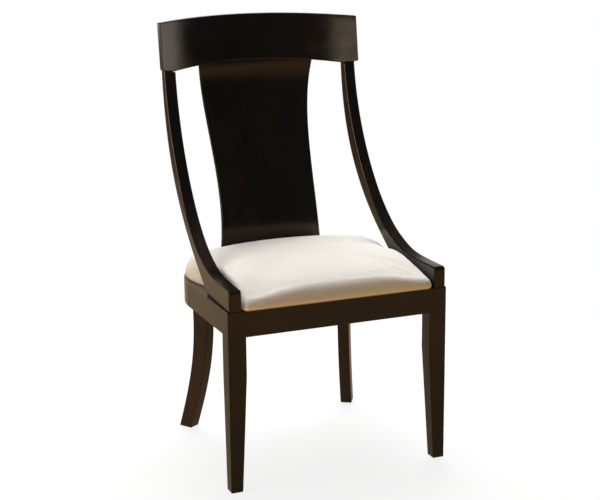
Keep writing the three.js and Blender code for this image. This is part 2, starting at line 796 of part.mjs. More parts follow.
function seatFoam() {
  const wall = coverThickness + fit;
  const floor = railTop + boardThickness;
  const rings = padRings(wall).filter((ring) => ring.every((point) => point.z > floor));
  const rim = boardRing(wall + boardInset).map((point) => point.setZ(floor));
  const apex = new THREE.Vector3(0, padCentreRun, padTop - wall);
  return ringSurface([rim, ...rings], apex, new THREE.Vector3(0, padCentreRun, floor));
}

function seatCover() {
  const outer = padRings(0);
  const inner = padRings(coverThickness);
  const outside = ringSurface(outer, new THREE.Vector3(0, padCentreRun, padTop));
  const insideApex = new THREE.Vector3(0, padCentreRun, padTop - coverThickness);
  const inside = ringSurface(inner, insideApex);
  const flipped = inside.index.array;
  for (let corner = 0; corner < flipped.length; corner += 3) {
    [flipped[corner], flipped[corner + 1]] = [flipped[corner + 1], flipped[corner]];
  }
  const count = outer[0].length;
  const shift = outer.length * count + 1;
  const rim = [];
  for (let step = 0; step < count; step += 1) {
    const next = (step + 1) % count;
    rim.push(next, step, shift + step, next, shift + step, shift + next);
  }
  const shell = mergeGeometries([outside, inside]);
  shell.setIndex([...shell.index.array, ...rim]);
  return shell;
}

function seatBoard() {
  const plan = boardRing(coverThickness + boardInset).map((point) => new THREE.Vector2(point.x, point.y));
  const board = planCut(plan, railTop, railTop + boardThickness);
  return cut(board, holes(bothSides(seatScrews)));
}

function dustCover() {
  const reach = half - sideRailThickness - dustInset;
  const near = frontRailThickness + dustInset;
  const far = seatDepth - sideRailThickness - dustInset - bowDrop(reach - dustCornerCut);
  const plan = [
    [-(reach - dustCornerCut), near],
    [reach - dustCornerCut, near],
    [reach, near + dustCornerCut],
    [reach, sideStraight],
    [reach - dustCornerCut, far],
    [-(reach - dustCornerCut), far],
    [-reach, sideStraight],
    [-reach, near + dustCornerCut],
  ].map(([across, run]) => new THREE.Vector2(across, run));
  return planCut(plan, railTop - dustThickness, railTop);
}

// Assembly

function piece(name, geometry, material) {
  const shaded = welded(geometry);
  shaded.computeVertexNormals();
  const mesh = new THREE.Mesh(shaded, material);
  mesh.name = name;
  return mesh;
}

function pair(name, geometry, material) {
  return [piece(`right_${name}`, geometry, material), piece(`left_${name}`, mirrored(geometry), material)];
}

function fasteners(name, pins, shape, material) {
  return bothSides(pins).map((pin, place) => piece(`${name}_${place + 1}`, shape(pin), material));
}

const dowels = (name, pins) => fasteners(`${name}_dowel`, pins, (pin) => rod(pin), rawWood);
const screws = (name, pins) => fasteners(`${name}_screw`, pins, screwBody, steel);

function glides(end, foot) {
  return [["right", 1], ["left", -1]].map(([side, sign]) => {
    const disc = piece(`${end}_${side}_glide`, glide(), nylon);
    disc.position.set(sign * foot.x, foot.y, 0);
    return disc;
  });
}

const seatFrame = new THREE.Group().add(
  piece("front_rail", frontRail(), wood),
  piece("rear_rail", rearRail(), wood),
  ...pair("side_rail", sideRail(), wood),
  ...pair("front_leg", frontLeg(), wood),
  ...pair("rear_leg", rearLeg(), wood),
  ...pair("front_corner_block", frontBlock(), rawWood),
  ...pair("rear_corner_block", rearBlock(), rawWood),
  ...glides("front", frontFoot),
  ...glides("rear", rearFoot),
);

const back = new THREE.Group().add(
  piece("crest_rail", crestRail(), wood),
  piece("back_splat", splat(), wood),
  ...pair("arm", arm(), wood),
);

const slipSeat = new THREE.Group().add(
  piece("seat_board", seatBoard(), plywood),
  piece("seat_foam", seatFoam(), foam),
  piece("seat_cover", seatCover(), cloth),
  piece("dust_cover", dustCover(), cambric),
);

const joinery = new THREE.Group().add(
  ...dowels("front_rail", frontRailDowels),
  ...dowels("side_rail", sideRailDowels),
  ...dowels("rear_rail", rearRailDowels),
  ...dowels("arm", armDowels),
  ...dowels("crest", crestDowels),
  ...screws("corner_block", blockScrews),
  ...screws("seat", seatScrews),
);

// The origin is on the floor, under the middle of the chair's overall box
const chair = new THREE.Group().add(seatFrame, back, slipSeat, joinery);
const bounds = new THREE.Box3().setFromObject(chair);
const centre = bounds.getCenter(new THREE.Vector3());
chair.position.set(-centre.x, -centre.y, -bounds.min.z);

export default chair;
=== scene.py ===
"""Looks of the klismos dining chair: lacquered frame pieces, a padded slip seat and a studio."""

import logging
import math
from dataclasses import dataclass
from enum import Enum
from typing import Callable, Iterable, Sequence

import bmesh
import bpy
from mathutils import Matrix, Vector


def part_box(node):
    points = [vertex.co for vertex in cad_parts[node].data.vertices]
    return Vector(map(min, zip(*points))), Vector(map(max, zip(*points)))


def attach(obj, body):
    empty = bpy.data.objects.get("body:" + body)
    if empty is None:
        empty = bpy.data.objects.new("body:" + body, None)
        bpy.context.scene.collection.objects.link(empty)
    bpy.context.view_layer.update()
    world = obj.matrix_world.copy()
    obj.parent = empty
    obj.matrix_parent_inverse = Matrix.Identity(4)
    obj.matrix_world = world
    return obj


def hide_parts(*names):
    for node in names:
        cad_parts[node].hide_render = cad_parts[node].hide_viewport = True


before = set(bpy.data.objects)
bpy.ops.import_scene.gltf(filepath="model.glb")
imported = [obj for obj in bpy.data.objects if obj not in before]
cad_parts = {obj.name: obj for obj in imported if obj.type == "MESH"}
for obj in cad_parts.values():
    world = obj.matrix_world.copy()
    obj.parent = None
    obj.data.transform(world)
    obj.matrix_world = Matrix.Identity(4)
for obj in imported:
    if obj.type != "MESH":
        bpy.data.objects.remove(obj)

log = logging.getLogger("chair")

MM = 0.001
SAME = 0.01  # millimetres within which two points are one
NEAR = 1.0  # millimetres, less than any face of the frame is wide

Colour = tuple[float, float, float]
Flat = tuple[float, float]
Spot = Sequence[float]
Edge = bmesh.types.BMEdge
Vert = bmesh.types.BMVert
Mesh = bmesh.types.BMesh
Piece = bpy.types.Object
Finish = bpy.types.Material
Socket = bpy.types.NodeSocket


class Grain(Enum):
    """Which way the grain of a piece runs, as the turn that lays it along X."""

    ACROSS = (0.0, 0.0, 0.0)
    BACKWARD = (0.0, 0.0, math.radians(-90))
    UPRIGHT = (0.0, math.radians(90), 0.0)
    SLOPING = (math.radians(-47), 0.0, math.radians(-90))


class Side(Enum):
    """A side of the chair, seen from its front, and its sign along X."""

    RIGHT = 1
    LEFT = -1


class Rays(Enum):
    """What a lamp lights: whether matte surfaces, and whether mirroring ones."""

    MATTE = (True, False)
    MIRRORED = (False, True)


class NodeBoard:
    """The node tree of a material or a world, with short ways to add and join nodes."""

    def __init__(self, name: str, world: bool = False) -> None:
        """Makes an empty material, or an empty world.

        Args:
            name: Its name.
            world: True for a world.
        """
        self.owner = (bpy.data.worlds if world else bpy.data.materials).new(name)
        self.owner.use_nodes = True
        self.tree = self.owner.node_tree
        self.tree.nodes.clear()

    def add(self, kind: str, values: dict | None = None, **settings: object) -> bpy.types.Node:
        """Adds a node.

        Args:
            kind: The node's type, without the ShaderNode prefix.
            values: What goes in its inputs, by name or number: a value, or a socket to join.
            settings: The node's own options.

        Returns:
            The node.
        """
        node = self.tree.nodes.new("ShaderNode" + kind)
        for option, setting in settings.items():
            setattr(node, option, setting)
        for place, value in (values or {}).items():
            socket = node.inputs[place]
            if isinstance(value, Socket):
                self.tree.links.new(value, socket)
            else:
                socket.default_value = value
        return node

    def place(self, turn: Spot = (0, 0, 0), scale: Spot = (1, 1, 1)) -> Socket:
        """Object coordinates, turned and scaled.

        Args:
            turn: Rotation of the pattern, in radians.
            scale: Scale of the pattern along each axis.

        Returns:
            The vector socket.
        """
        object_place = self.add("TexCoord").outputs["Object"]
        turned = self.add("Mapping", {"Vector": object_place, "Rotation": turn}).outputs["Vector"]
        return self.add("Mapping", {"Vector": turned, "Scale": scale}).outputs["Vector"]

    def noise(self, place: Socket, scale: float, detail: float = 3, rough: float = 0.5) -> Socket:
        """A noise pattern.

        Args:
            place: Where it is read.
            scale: Its scale, per metre.
            detail: Its octaves.
            rough: How strong the finer octaves are.

        Returns:
            The noise's value.
        """
        values = {"Vector": place, "Scale": scale, "Detail": detail, "Roughness": rough}
        return self.add("TexNoise", values).outputs[0]

    def span(self, value: Socket, low: float, high: float, first: float, last: float) -> Socket:
        """A value moved from one range to another, and held inside it.

        Args:
            value: The value.
            low: Start of its range.
            high: End of its range.
            first: What the start becomes.
            last: What the end becomes.

        Returns:
            The new value.
        """
        ends = {"From Min": low, "From Max": high, "To Min": first, "To Max": last}
        return self.add("MapRange", {"Value": value, **ends}).outputs[0]

    def blend(self, share: Socket | float, first: object, second: object) -> Socket:
        """A mix of two colours.

        Args:
            share: How much of the second.
            first: The first colour, or its socket.
            second: The second colour, or its socket.

        Returns:
            The mixed colour.
        """
        ends = [end if isinstance(end, Socket) else (*end, 1.0) for end in (first, second)]
        return self.add("Mix", {0: share, 6: ends[0], 7: ends[1]}, data_type="RGBA").outputs[2]

    def sum(self, kind: str, first: object, second: object) -> Socket:
        """One step of arithmetic.

        Args:
            kind: The operation.
            first: Its first number or socket.
            second: Its second number or socket.

        Returns:
            The result.
        """
        return self.add("Math", {0: first, 1: second}, operation=kind).outputs[0]

    def bump(
        self, height: Socket, depth: float, strength: float, under: Socket | None = None
    ) -> Socket:
        """A bumped normal.

        Args:
            height: The height pattern.
            depth: What a height of one is, in metres.
            strength: How much of it shows.
            under: A normal that it is added to.

        Returns:
            The normal.
        """
        values = {"Height": height, "Distance": depth, "Strength": strength}
        if under is not None:
            values["Normal"] = under
        return self.add("Bump", values).outputs[0]

    def away(self) -> Socket:
        """How far a point is from the object's origin."""
        return self.add("VectorMath", {0: self.place()}, operation="LENGTH").outputs["Value"]

    def shown(self) -> Socket:
        """Tells where the camera, a mirror or glass looks from where light bounces.

        Returns:
            One for the first, nought for the second.
        """
        rays = self.add("LightPath")
        seen = self.sum("MAXIMUM", rays.outputs["Is Camera Ray"], rays.outputs["Is Glossy Ray"])
        return self.sum("MAXIMUM", seen, rays.outputs["Is Transmission Ray"])

    def surface(self, values: dict) -> Finish:
        """Ends the tree in a Principled shader.

        Args:
            values: What goes in its inputs.

        Returns:
            The finished material.
        """
        shader = self.add("BsdfPrincipled", values)
        self.add("OutputMaterial", {"Surface": shader.outputs[0]})
        return self.owner


@dataclass(frozen=True)
class LacqueredWood:
    """Espresso stain under a satin lacquer, streaked with brown; patterns are per metre."""

    name: str = "finished_wood"
    dark: Colour = (0.0068, 0.0058, 0.0053)
    brown: Colour = (0.0155, 0.0086, 0.0056)
    worn: Colour = (0.023, 0.0115, 0.0064)
    gloss: float = 0.15
    mirror: float = 0.4
    tint: Spot = (1.0, 0.8, 0.62, 1.0)
    cloud: float = 7.0
    wave: float = 17.0
    streak: float = 26.0
    ripple: float = 75.0
    pore: float = 420.0
    wave_depth: float = 0.0009
    ripple_depth: float = 0.00025
    pore_depth: float = 0.00004
    relief: float = 0.5

    def material(self, grain: Grain) -> Finish:
        """The lacquered wood, with its grain along one direction.

        Args:
            grain: The direction.

        Returns:
            The material.
        """
        board = NodeBoard(f"{self.name}_{grain.name.lower()}")
        streaks = board.noise(board.place(grain.value, (0.09, 1, 1)), self.streak, 4, 0.6)
        pores = board.noise(board.place(grain.value, (0.035, 1, 1)), self.pore, 3, 0.7)
        clouds = board.noise(board.place(), self.cloud, 2, 0.5)
        waves = board.noise(board.place(grain.value, (0.5, 1, 1)), self.wave, 1, 0.4)
        ripples = board.noise(board.place(grain.value, (0.6, 1, 1)), self.ripple, 2, 0.5)
        stain = board.span(board.sum("ADD", streaks, clouds), 0.82, 1.25, 0, 1)
        colour = board.blend(stain, self.dark, self.brown)
        glow = board.span(clouds, 0.58, 0.76, 0, 0.5)
        colour = board.blend(glow, colour, self.worn)
        colour = board.blend(board.span(pores, 0.55, 0.75, 0, 0.55), colour, self.dark)
        roughness = board.span(streaks, 0.3, 0.7, self.gloss - 0.03, self.gloss + 0.06)
        normal = board.bump(waves, self.wave_depth, self.relief)
        normal = board.bump(ripples, self.ripple_depth, self.relief, normal)
        normal = board.bump(pores, self.pore_depth, self.relief, normal)
        return board.surface({
            "Base Color": colour,
            "Roughness": roughness,
            "Specular IOR Level": self.mirror,
            "Specular Tint": self.tint,
            "Normal": normal,
        })


@dataclass(frozen=True)
class BareWood:
    """Unfinished beech: pale, with fine flecks along its grain; patterns are per metre."""

    pale: Colour = (0.5, 0.33, 0.18)
    deep: Colour = (0.37, 0.21, 0.1)
    ring: float = 130.0
    fleck: float = 900.0
    depth: float = 0.0002

    def material(self) -> Finish:
        """The bare wood.

        Returns:
            The material.
        """
        board = NodeBoard("bare_wood")
        rings = board.noise(board.place(scale=(1, 1, 0.08)), self.ring, 4, 0.6)
        flecks = board.noise(board.place(scale=(1, 1, 0.12)), self.fleck, 2, 0.7)
        colour = board.blend(board.span(rings, 0.35, 0.7, 0, 1), self.pale, self.deep)
        colour = board.blend(board.span(flecks, 0.6, 0.75, 0, 0.4), colour, self.deep)
        return board.surface({
            "Base Color": colour,
            "Roughness": board.span(rings, 0.3, 0.7, 0.6, 0.75),
            "Normal": board.bump(flecks, self.depth, 0.5),
        })


@dataclass(frozen=True)
class Plywood:
    """Birch plywood: broad figure on its faces, thin plies in its edge; patterns are per metre."""

    face: Colour = (0.6, 0.43, 0.25)
    figure: Colour = (0.47, 0.3, 0.15)
    glue: Colour = (0.2, 0.11, 0.05)
    ply: float = 0.0014
    broad: float = 30.0
    ray: float = 600.0
    depth: float = 0.0002

    def material(self) -> Finish:
        """The plywood.

        Returns:
            The material.
        """
        board = NodeBoard("plywood")
        broad = board.noise(board.place(scale=(0.12, 1, 1)), self.broad, 5, 0.65)
        rays = board.noise(board.place(scale=(0.1, 1, 1)), self.ray, 2, 0.6)
        height = board.add("SeparateXYZ", {0: board.place()}).outputs["Z"]
        plies = board.sum("PINGPONG", height, self.ply)
        colour = board.blend(board.span(broad, 0.35, 0.65, 0, 1), self.face, self.figure)
        colour = board.blend(board.span(plies, 0.0, self.ply * 0.25, 0.7, 0), colour, self.glue)
        return board.surface({
            "Base Color": colour,
            "Roughness": board.span(broad, 0.3, 0.7, 0.62, 0.78),
            "Normal": board.bump(rays, self.depth, 0.5),
        })


@dataclass(frozen=True)
class CoverCloth:
    """Off-white plain weave, read from the piece's own weave attribute; patterns are per metre."""

    thread: Colour = (0.87, 0.835, 0.785)
    shade: Colour = (0.72, 0.66, 0.58)
    pitch: float = 0.0011
    slub: float = 900.0
    cloud: float = 55.0
    depth: float = 0.00022
    mirror: float = 0.2
    sheen: float = 0.12

    def material(self) -> Finish:
        """The cover's cloth.

        Returns:
            The material.
        """
        board = NodeBoard("cover_cloth")
        place = board.add("Attribute", attribute_name="weave").outputs["Vector"]
        axes = board.add("SeparateXYZ", {0: place})
        warp = self.threads(board, axes.outputs["X"])
        weft = self.threads(board, axes.outputs["Y"])
        weave = board.sum("MULTIPLY", warp, weft)
        drawn = [
            board.add("Mapping", {"Vector": place, "Scale": scale}).outputs[0]
            for scale in ((1, 0.06, 1), (0.06, 1, 1))
        ]
        slubs = board.sum("ADD", *[board.noise(run, self.slub, 2) for run in drawn])
        clouds = board.noise(board.place(), self.cloud, 3, 0.6)
        colour = board.blend(board.span(slubs, 0.75, 1.25, 0.0, 0.42), self.thread, self.shade)
        colour = board.blend(board.span(weave, -0.4, -1.0, 0, 0.3), colour, self.shade)
        colour = board.blend(board.span(clouds, 0.5, 0.8, 0, 0.14), colour, self.shade)
        height = board.sum("ADD", weave, slubs)
        return board.surface({
            "Base Color": colour,
            "Roughness": board.span(slubs, 0.7, 1.3, 0.82, 0.95),
            "Specular IOR Level": self.mirror,
            "Sheen Weight": self.sheen,
            "Sheen Roughness": 0.45,
            "Normal": board.bump(height, self.depth, 0.45),
        })

    def threads(self, board: NodeBoard, run: Socket) -> Socket:
        """Waves as wide as the threads.

        Args:
            board: The material's nodes.
            run: The distance across the threads.

        Returns:
            A wave between -1 and 1.
        """
        turn = board.sum("MULTIPLY", run, 2 * math.pi / self.pitch)
        return board.add("Math", {0: turn}, operation="SINE").outputs[0]


@dataclass(frozen=True)
class PlainCloth:
    """A plain cloth or foam with a fine, even surface; its pattern is per metre."""

    name: str
    colour: Colour
    fleck: Colour
    scale: float
    spread: float = 12.0
    roughness: float = 0.92
    depth: float = 0.0003

    def material(self) -> Finish:
        """The cloth or foam.

        Returns:
            The material.
        """
        board = NodeBoard(self.name)
        fine = board.noise(board.place(), self.scale, 3, 0.7)
        broad = board.noise(board.place(), self.scale / self.spread, 2)
        colour = board.blend(board.span(fine, 0.4, 0.65, 0, 1), self.colour, self.fleck)
        return board.surface({
            "Base Color": board.blend(board.span(broad, 0.4, 0.7, 0, 0.4), colour, self.fleck),
            "Roughness": board.span(broad, 0.3, 0.7, self.roughness - 0.06, self.roughness + 0.04),
            "Normal": board.bump(fine, self.depth, 0.6),
        })


@dataclass(frozen=True)
class ZincSteel:
    """Zinc-plated steel with the fine scratches of a driver; patterns are per metre."""

    bright: Colour = (0.62, 0.62, 0.59)
    dull: Colour = (0.42, 0.42, 0.39)
    scratch: float = 2600.0
    patch: float = 350.0
    depth: float = 0.00005

    def material(self) -> Finish:
        """The screws' steel.

        Returns:
            The material.
        """
        board = NodeBoard("screw_steel")
        scratches = board.noise(board.place((0, 0, 0.6), (1, 0.08, 1)), self.scratch, 3, 0.7)
        patches = board.noise(board.place(), self.patch, 3)
        return board.surface({
            "Base Color": board.blend(board.span(patches, 0.4, 0.7, 0, 1), self.bright, self.dull),
            "Metallic": 1.0,
            "Roughness": board.span(scratches, 0.3, 0.7, 0.24, 0.42),
            "Normal": board.bump(scratches, self.depth, 0.4),
        })


@dataclass(frozen=True)
class Nylon:
    """Black moulded nylon, scuffed by floors; its pattern is per metre."""

    fresh: Colour = (0.014, 0.014, 0.014)
    scuffed: Colour = (0.07, 0.068, 0.064)
    scuff: float = 900.0
    depth: float = 0.00008

    def material(self) -> Finish:
        """The glides' nylon.

        Returns:
            The material.
        """
        board = NodeBoard("glide_nylon")
        scuffs = board.noise(board.place((0, 0, 0.4), (1, 0.12, 1)), self.scuff, 3, 0.7)
        worn = board.span(scuffs, 0.58, 0.75, 0, 1)
        return board.surface({
            "Base Color": board.blend(worn, self.fresh, self.scuffed),
            "Roughness": board.span(scuffs, 0.3, 0.7, 0.42, 0.62),
            "Normal": board.bump(scuffs, self.depth, 0.4),
        })


def placed(name: str, mesh: Mesh, finish: Finish) -> Piece:
    """Puts a mesh in the scene.

    Args:
        name: The piece's name.
        mesh: Its mesh, which is freed.
        finish: Its material.

    Returns:
        The piece.
    """
    data = bpy.data.meshes.new(name)
    mesh.to_mesh(data)
    mesh.free()
    data.materials.append(finish)
    piece = bpy.data.objects.new(name, data)
    bpy.context.scene.collection.objects.link(piece)
    return piece


@dataclass(frozen=True)
class Bench:
    """Where pieces are finished: it knows the chair's place, and all the materials."""

    front: float
    finishes: dict[str, Finish]
    crease: float = 0.6  # cosine of the widest angle that is shaded as one surface

    def matrix(self, side: Side = Side.RIGHT) -> Matrix:
        """From millimetres behind the front rail's face to the chair's own frame.

        Args:
            side: The side of the chair that a piece drawn for the right goes on.

        Returns:
            The matrix.
        """
        scale = Matrix.Diagonal((side.value * MM, MM, MM, 1))
        return Matrix.Translation((0, self.front, 0)) @ scale

    def finish(self, name: str, mesh: Mesh, finish: str, slot: str, nodes: Iterable[str]) -> Piece:
        """Makes a piece of a mesh that is in the chair's frame.

        Args:
            name: The piece's name.
            mesh: Its mesh, which is freed.
            finish: The name of its material.
            slot: The record's material slot; not used.
            nodes: The CAD nodes that it stands for.

        Returns:
            The piece.
        """
        bmesh.ops.remove_doubles(mesh, verts=mesh.verts, dist=SAME * MM)
        bmesh.ops.recalc_face_normals(mesh, faces=mesh.faces)
        mesh.normal_update()
        normals = self.normals(mesh)
        piece = placed(name, mesh, self.finishes[finish])
        for polygon in piece.data.polygons:
            polygon.use_smooth = True
        piece.data.normals_split_custom_set(normals)
        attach(piece, "root")
        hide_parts(*nodes)
        log.info("%s: %d faces", name, len(piece.data.polygons))
        return piece

    def normals(self, mesh: Mesh) -> list[Vector]:
        """A normal for each corner of each face: the mean over its smooth neighbours, by area.

        Args:
            mesh: The mesh.

        Returns:
            The normals.
        """
        leaning = {face: face.normal * face.calc_area() for face in mesh.faces}
        normals = []
        for face in mesh.faces:
            for vert in face.verts:
                total = Vector((0, 0, 0))
                for other in vert.link_faces:
                    if other.normal.dot(face.normal) > self.crease:
                        total += leaning[other]
                normals.append(total.normalized())
        return normals

    def wooden(self, node: str, mesh: Mesh, wood: str, side: Side = Side.RIGHT) -> None:
        """Finishes a wooden piece that is drawn in millimetres.

        Args:
            node: The CAD node that it stands for.
            mesh: Its mesh, which is freed.
            wood: The name of its wood.
            side: The side of the chair that it goes on.
        """
        bmesh.ops.transform(mesh, matrix=self.matrix(side), verts=mesh.verts)
        self.finish(f"{node}_finished", mesh, wood, "finished_wood", [node])


def curve_points(start: Flat, first: Flat, second: Flat, end: Flat, steps: int) -> list[Flat]:
    """Points along a curve with two handles.

    Args:
        start: Where it starts.
        first: Its first handle.
        second: Its second handle.
        end: Where it ends.
        steps: How many steps it is cut in.

    Returns:
        The points, both ends included.
    """
    points = []
    for step in range(steps + 1):
        t = step / steps
        s = 1 - t
        weights = (s ** 3, 3 * s * s * t, 3 * s * t * t, t ** 3)
        handles = (start, first, second, end)
        points.append((
            sum(w * h[0] for w, h in zip(weights, handles)),
            sum(w * h[1] for w, h in zip(weights, handles)),
        ))
    return points


def handle(start: Flat, end: Flat, shares: Flat) -> Flat:
    """A curve's handle, given as shares of the way from its start to its end.

    Args:
        start: The curve's start.
        end: Its end.
        shares: The shares across and up.

    Returns:
        The handle.
    """
    return (start[0] + shares[0] * (end[0] - start[0]), start[1] + shares[1] * (end[1] - start[1]))


def arc_points(centre: Flat, radius: float, first: float, last: float, steps: int) -> list[Flat]:
    """Points along an arc.

    Args:
        centre: Its centre.
        radius: Its radius.
        first: Its first angle, in radians.
        last: Its last angle.
        steps: How many steps it is cut in.

    Returns:
        The points, both ends included.
    """
    angles = [first + (last - first) * step / steps for step in range(steps + 1)]
    return [(centre[0] + radius * math.cos(a), centre[1] + radius * math.sin(a)) for a in angles]


def follow(points: Sequence[Flat], up: float) -> float:
    """Reads a rising curve.

    Args:
        points: Points of the curve, each across and up, from low to high.
        up: The height.

    Returns:
        How far across the curve is at that height.
    """
    for low, high in zip(points, points[1:]):
        if up <= high[1]:
            share = (up - low[1]) / (high[1] - low[1])
            return low[0] + share * (high[0] - low[0])
    return points[-1][0]


def slab(points: Sequence[Spot], thickness: Spot) -> Mesh:
    """A flat outline drawn out into a solid.

    Args:
        points: The outline's corners, in space.
        thickness: How far and which way it is drawn out.

    Returns:
        The mesh.
    """
    mesh = bmesh.new()
    face = mesh.faces.new([mesh.verts.new(point) for point in points])
    drawn = bmesh.ops.extrude_face_region(mesh, geom=[face])
    moved = [item for item in drawn["geom"] if isinstance(item, Vert)]
    bmesh.ops.translate(mesh, verts=moved, vec=thickness)
    bmesh.ops.recalc_face_normals(mesh, faces=mesh.faces)
    return mesh


def soften(mesh: Mesh, width: float, chosen: Callable[[Edge], bool], segments: int = 3) -> None:
    """Rounds chosen edges.

    Args:
        mesh: The mesh.
        width: How far the rounding runs on each side of an edge.
        chosen: Says which edges are rounded.
        segments: The steps of the rounding.
    """
    edges = [edge for edge in mesh.edges if len(edge.link_faces) == 2 and chosen(edge)]
    bmesh.ops.bevel(
        mesh,
        geom=edges,
        offset=width,
        offset_type="OFFSET",
        segments=segments,
        profile=0.5,
        affect="EDGES",
        material=-1,
        clamp_overlap=True,
    )


def cut_off(mesh: Mesh, place: Spot, beyond: Spot) -> list[Edge]:
    """Cuts off what lies beyond a plane.

    Args:
        mesh: The mesh.
        place: A point of the plane.
        beyond: The way to what goes.

    Returns:
        The edges of the cut.
    """
    everything = mesh.verts[:] + mesh.edges[:] + mesh.faces[:]
    plane = {"plane_co": place, "plane_no": beyond}
    cut = bmesh.ops.bisect_plane(mesh, geom=everything, clear_outer=True, **plane)
    return [item for item in cut["geom_cut"] if isinstance(item, Edge)]


def keen(edge: Edge, least: float = 0.7) -> bool:
    """True for an edge whose faces meet at more than an angle in radians."""
    return edge.calc_face_angle(0) > least


def lies(edge: Edge, axis: int, value: float) -> bool:
    """True for an edge with both ends at one value along an axis."""
    return all(abs(vert.co[axis] - value) < SAME for vert in edge.verts)


def runs(edge: Edge, axis: int, least: float = NEAR) -> bool:
    """True for an edge whose ends are more than so far apart along an axis."""
    return abs(edge.verts[0].co[axis] - edge.verts[1].co[axis]) > least


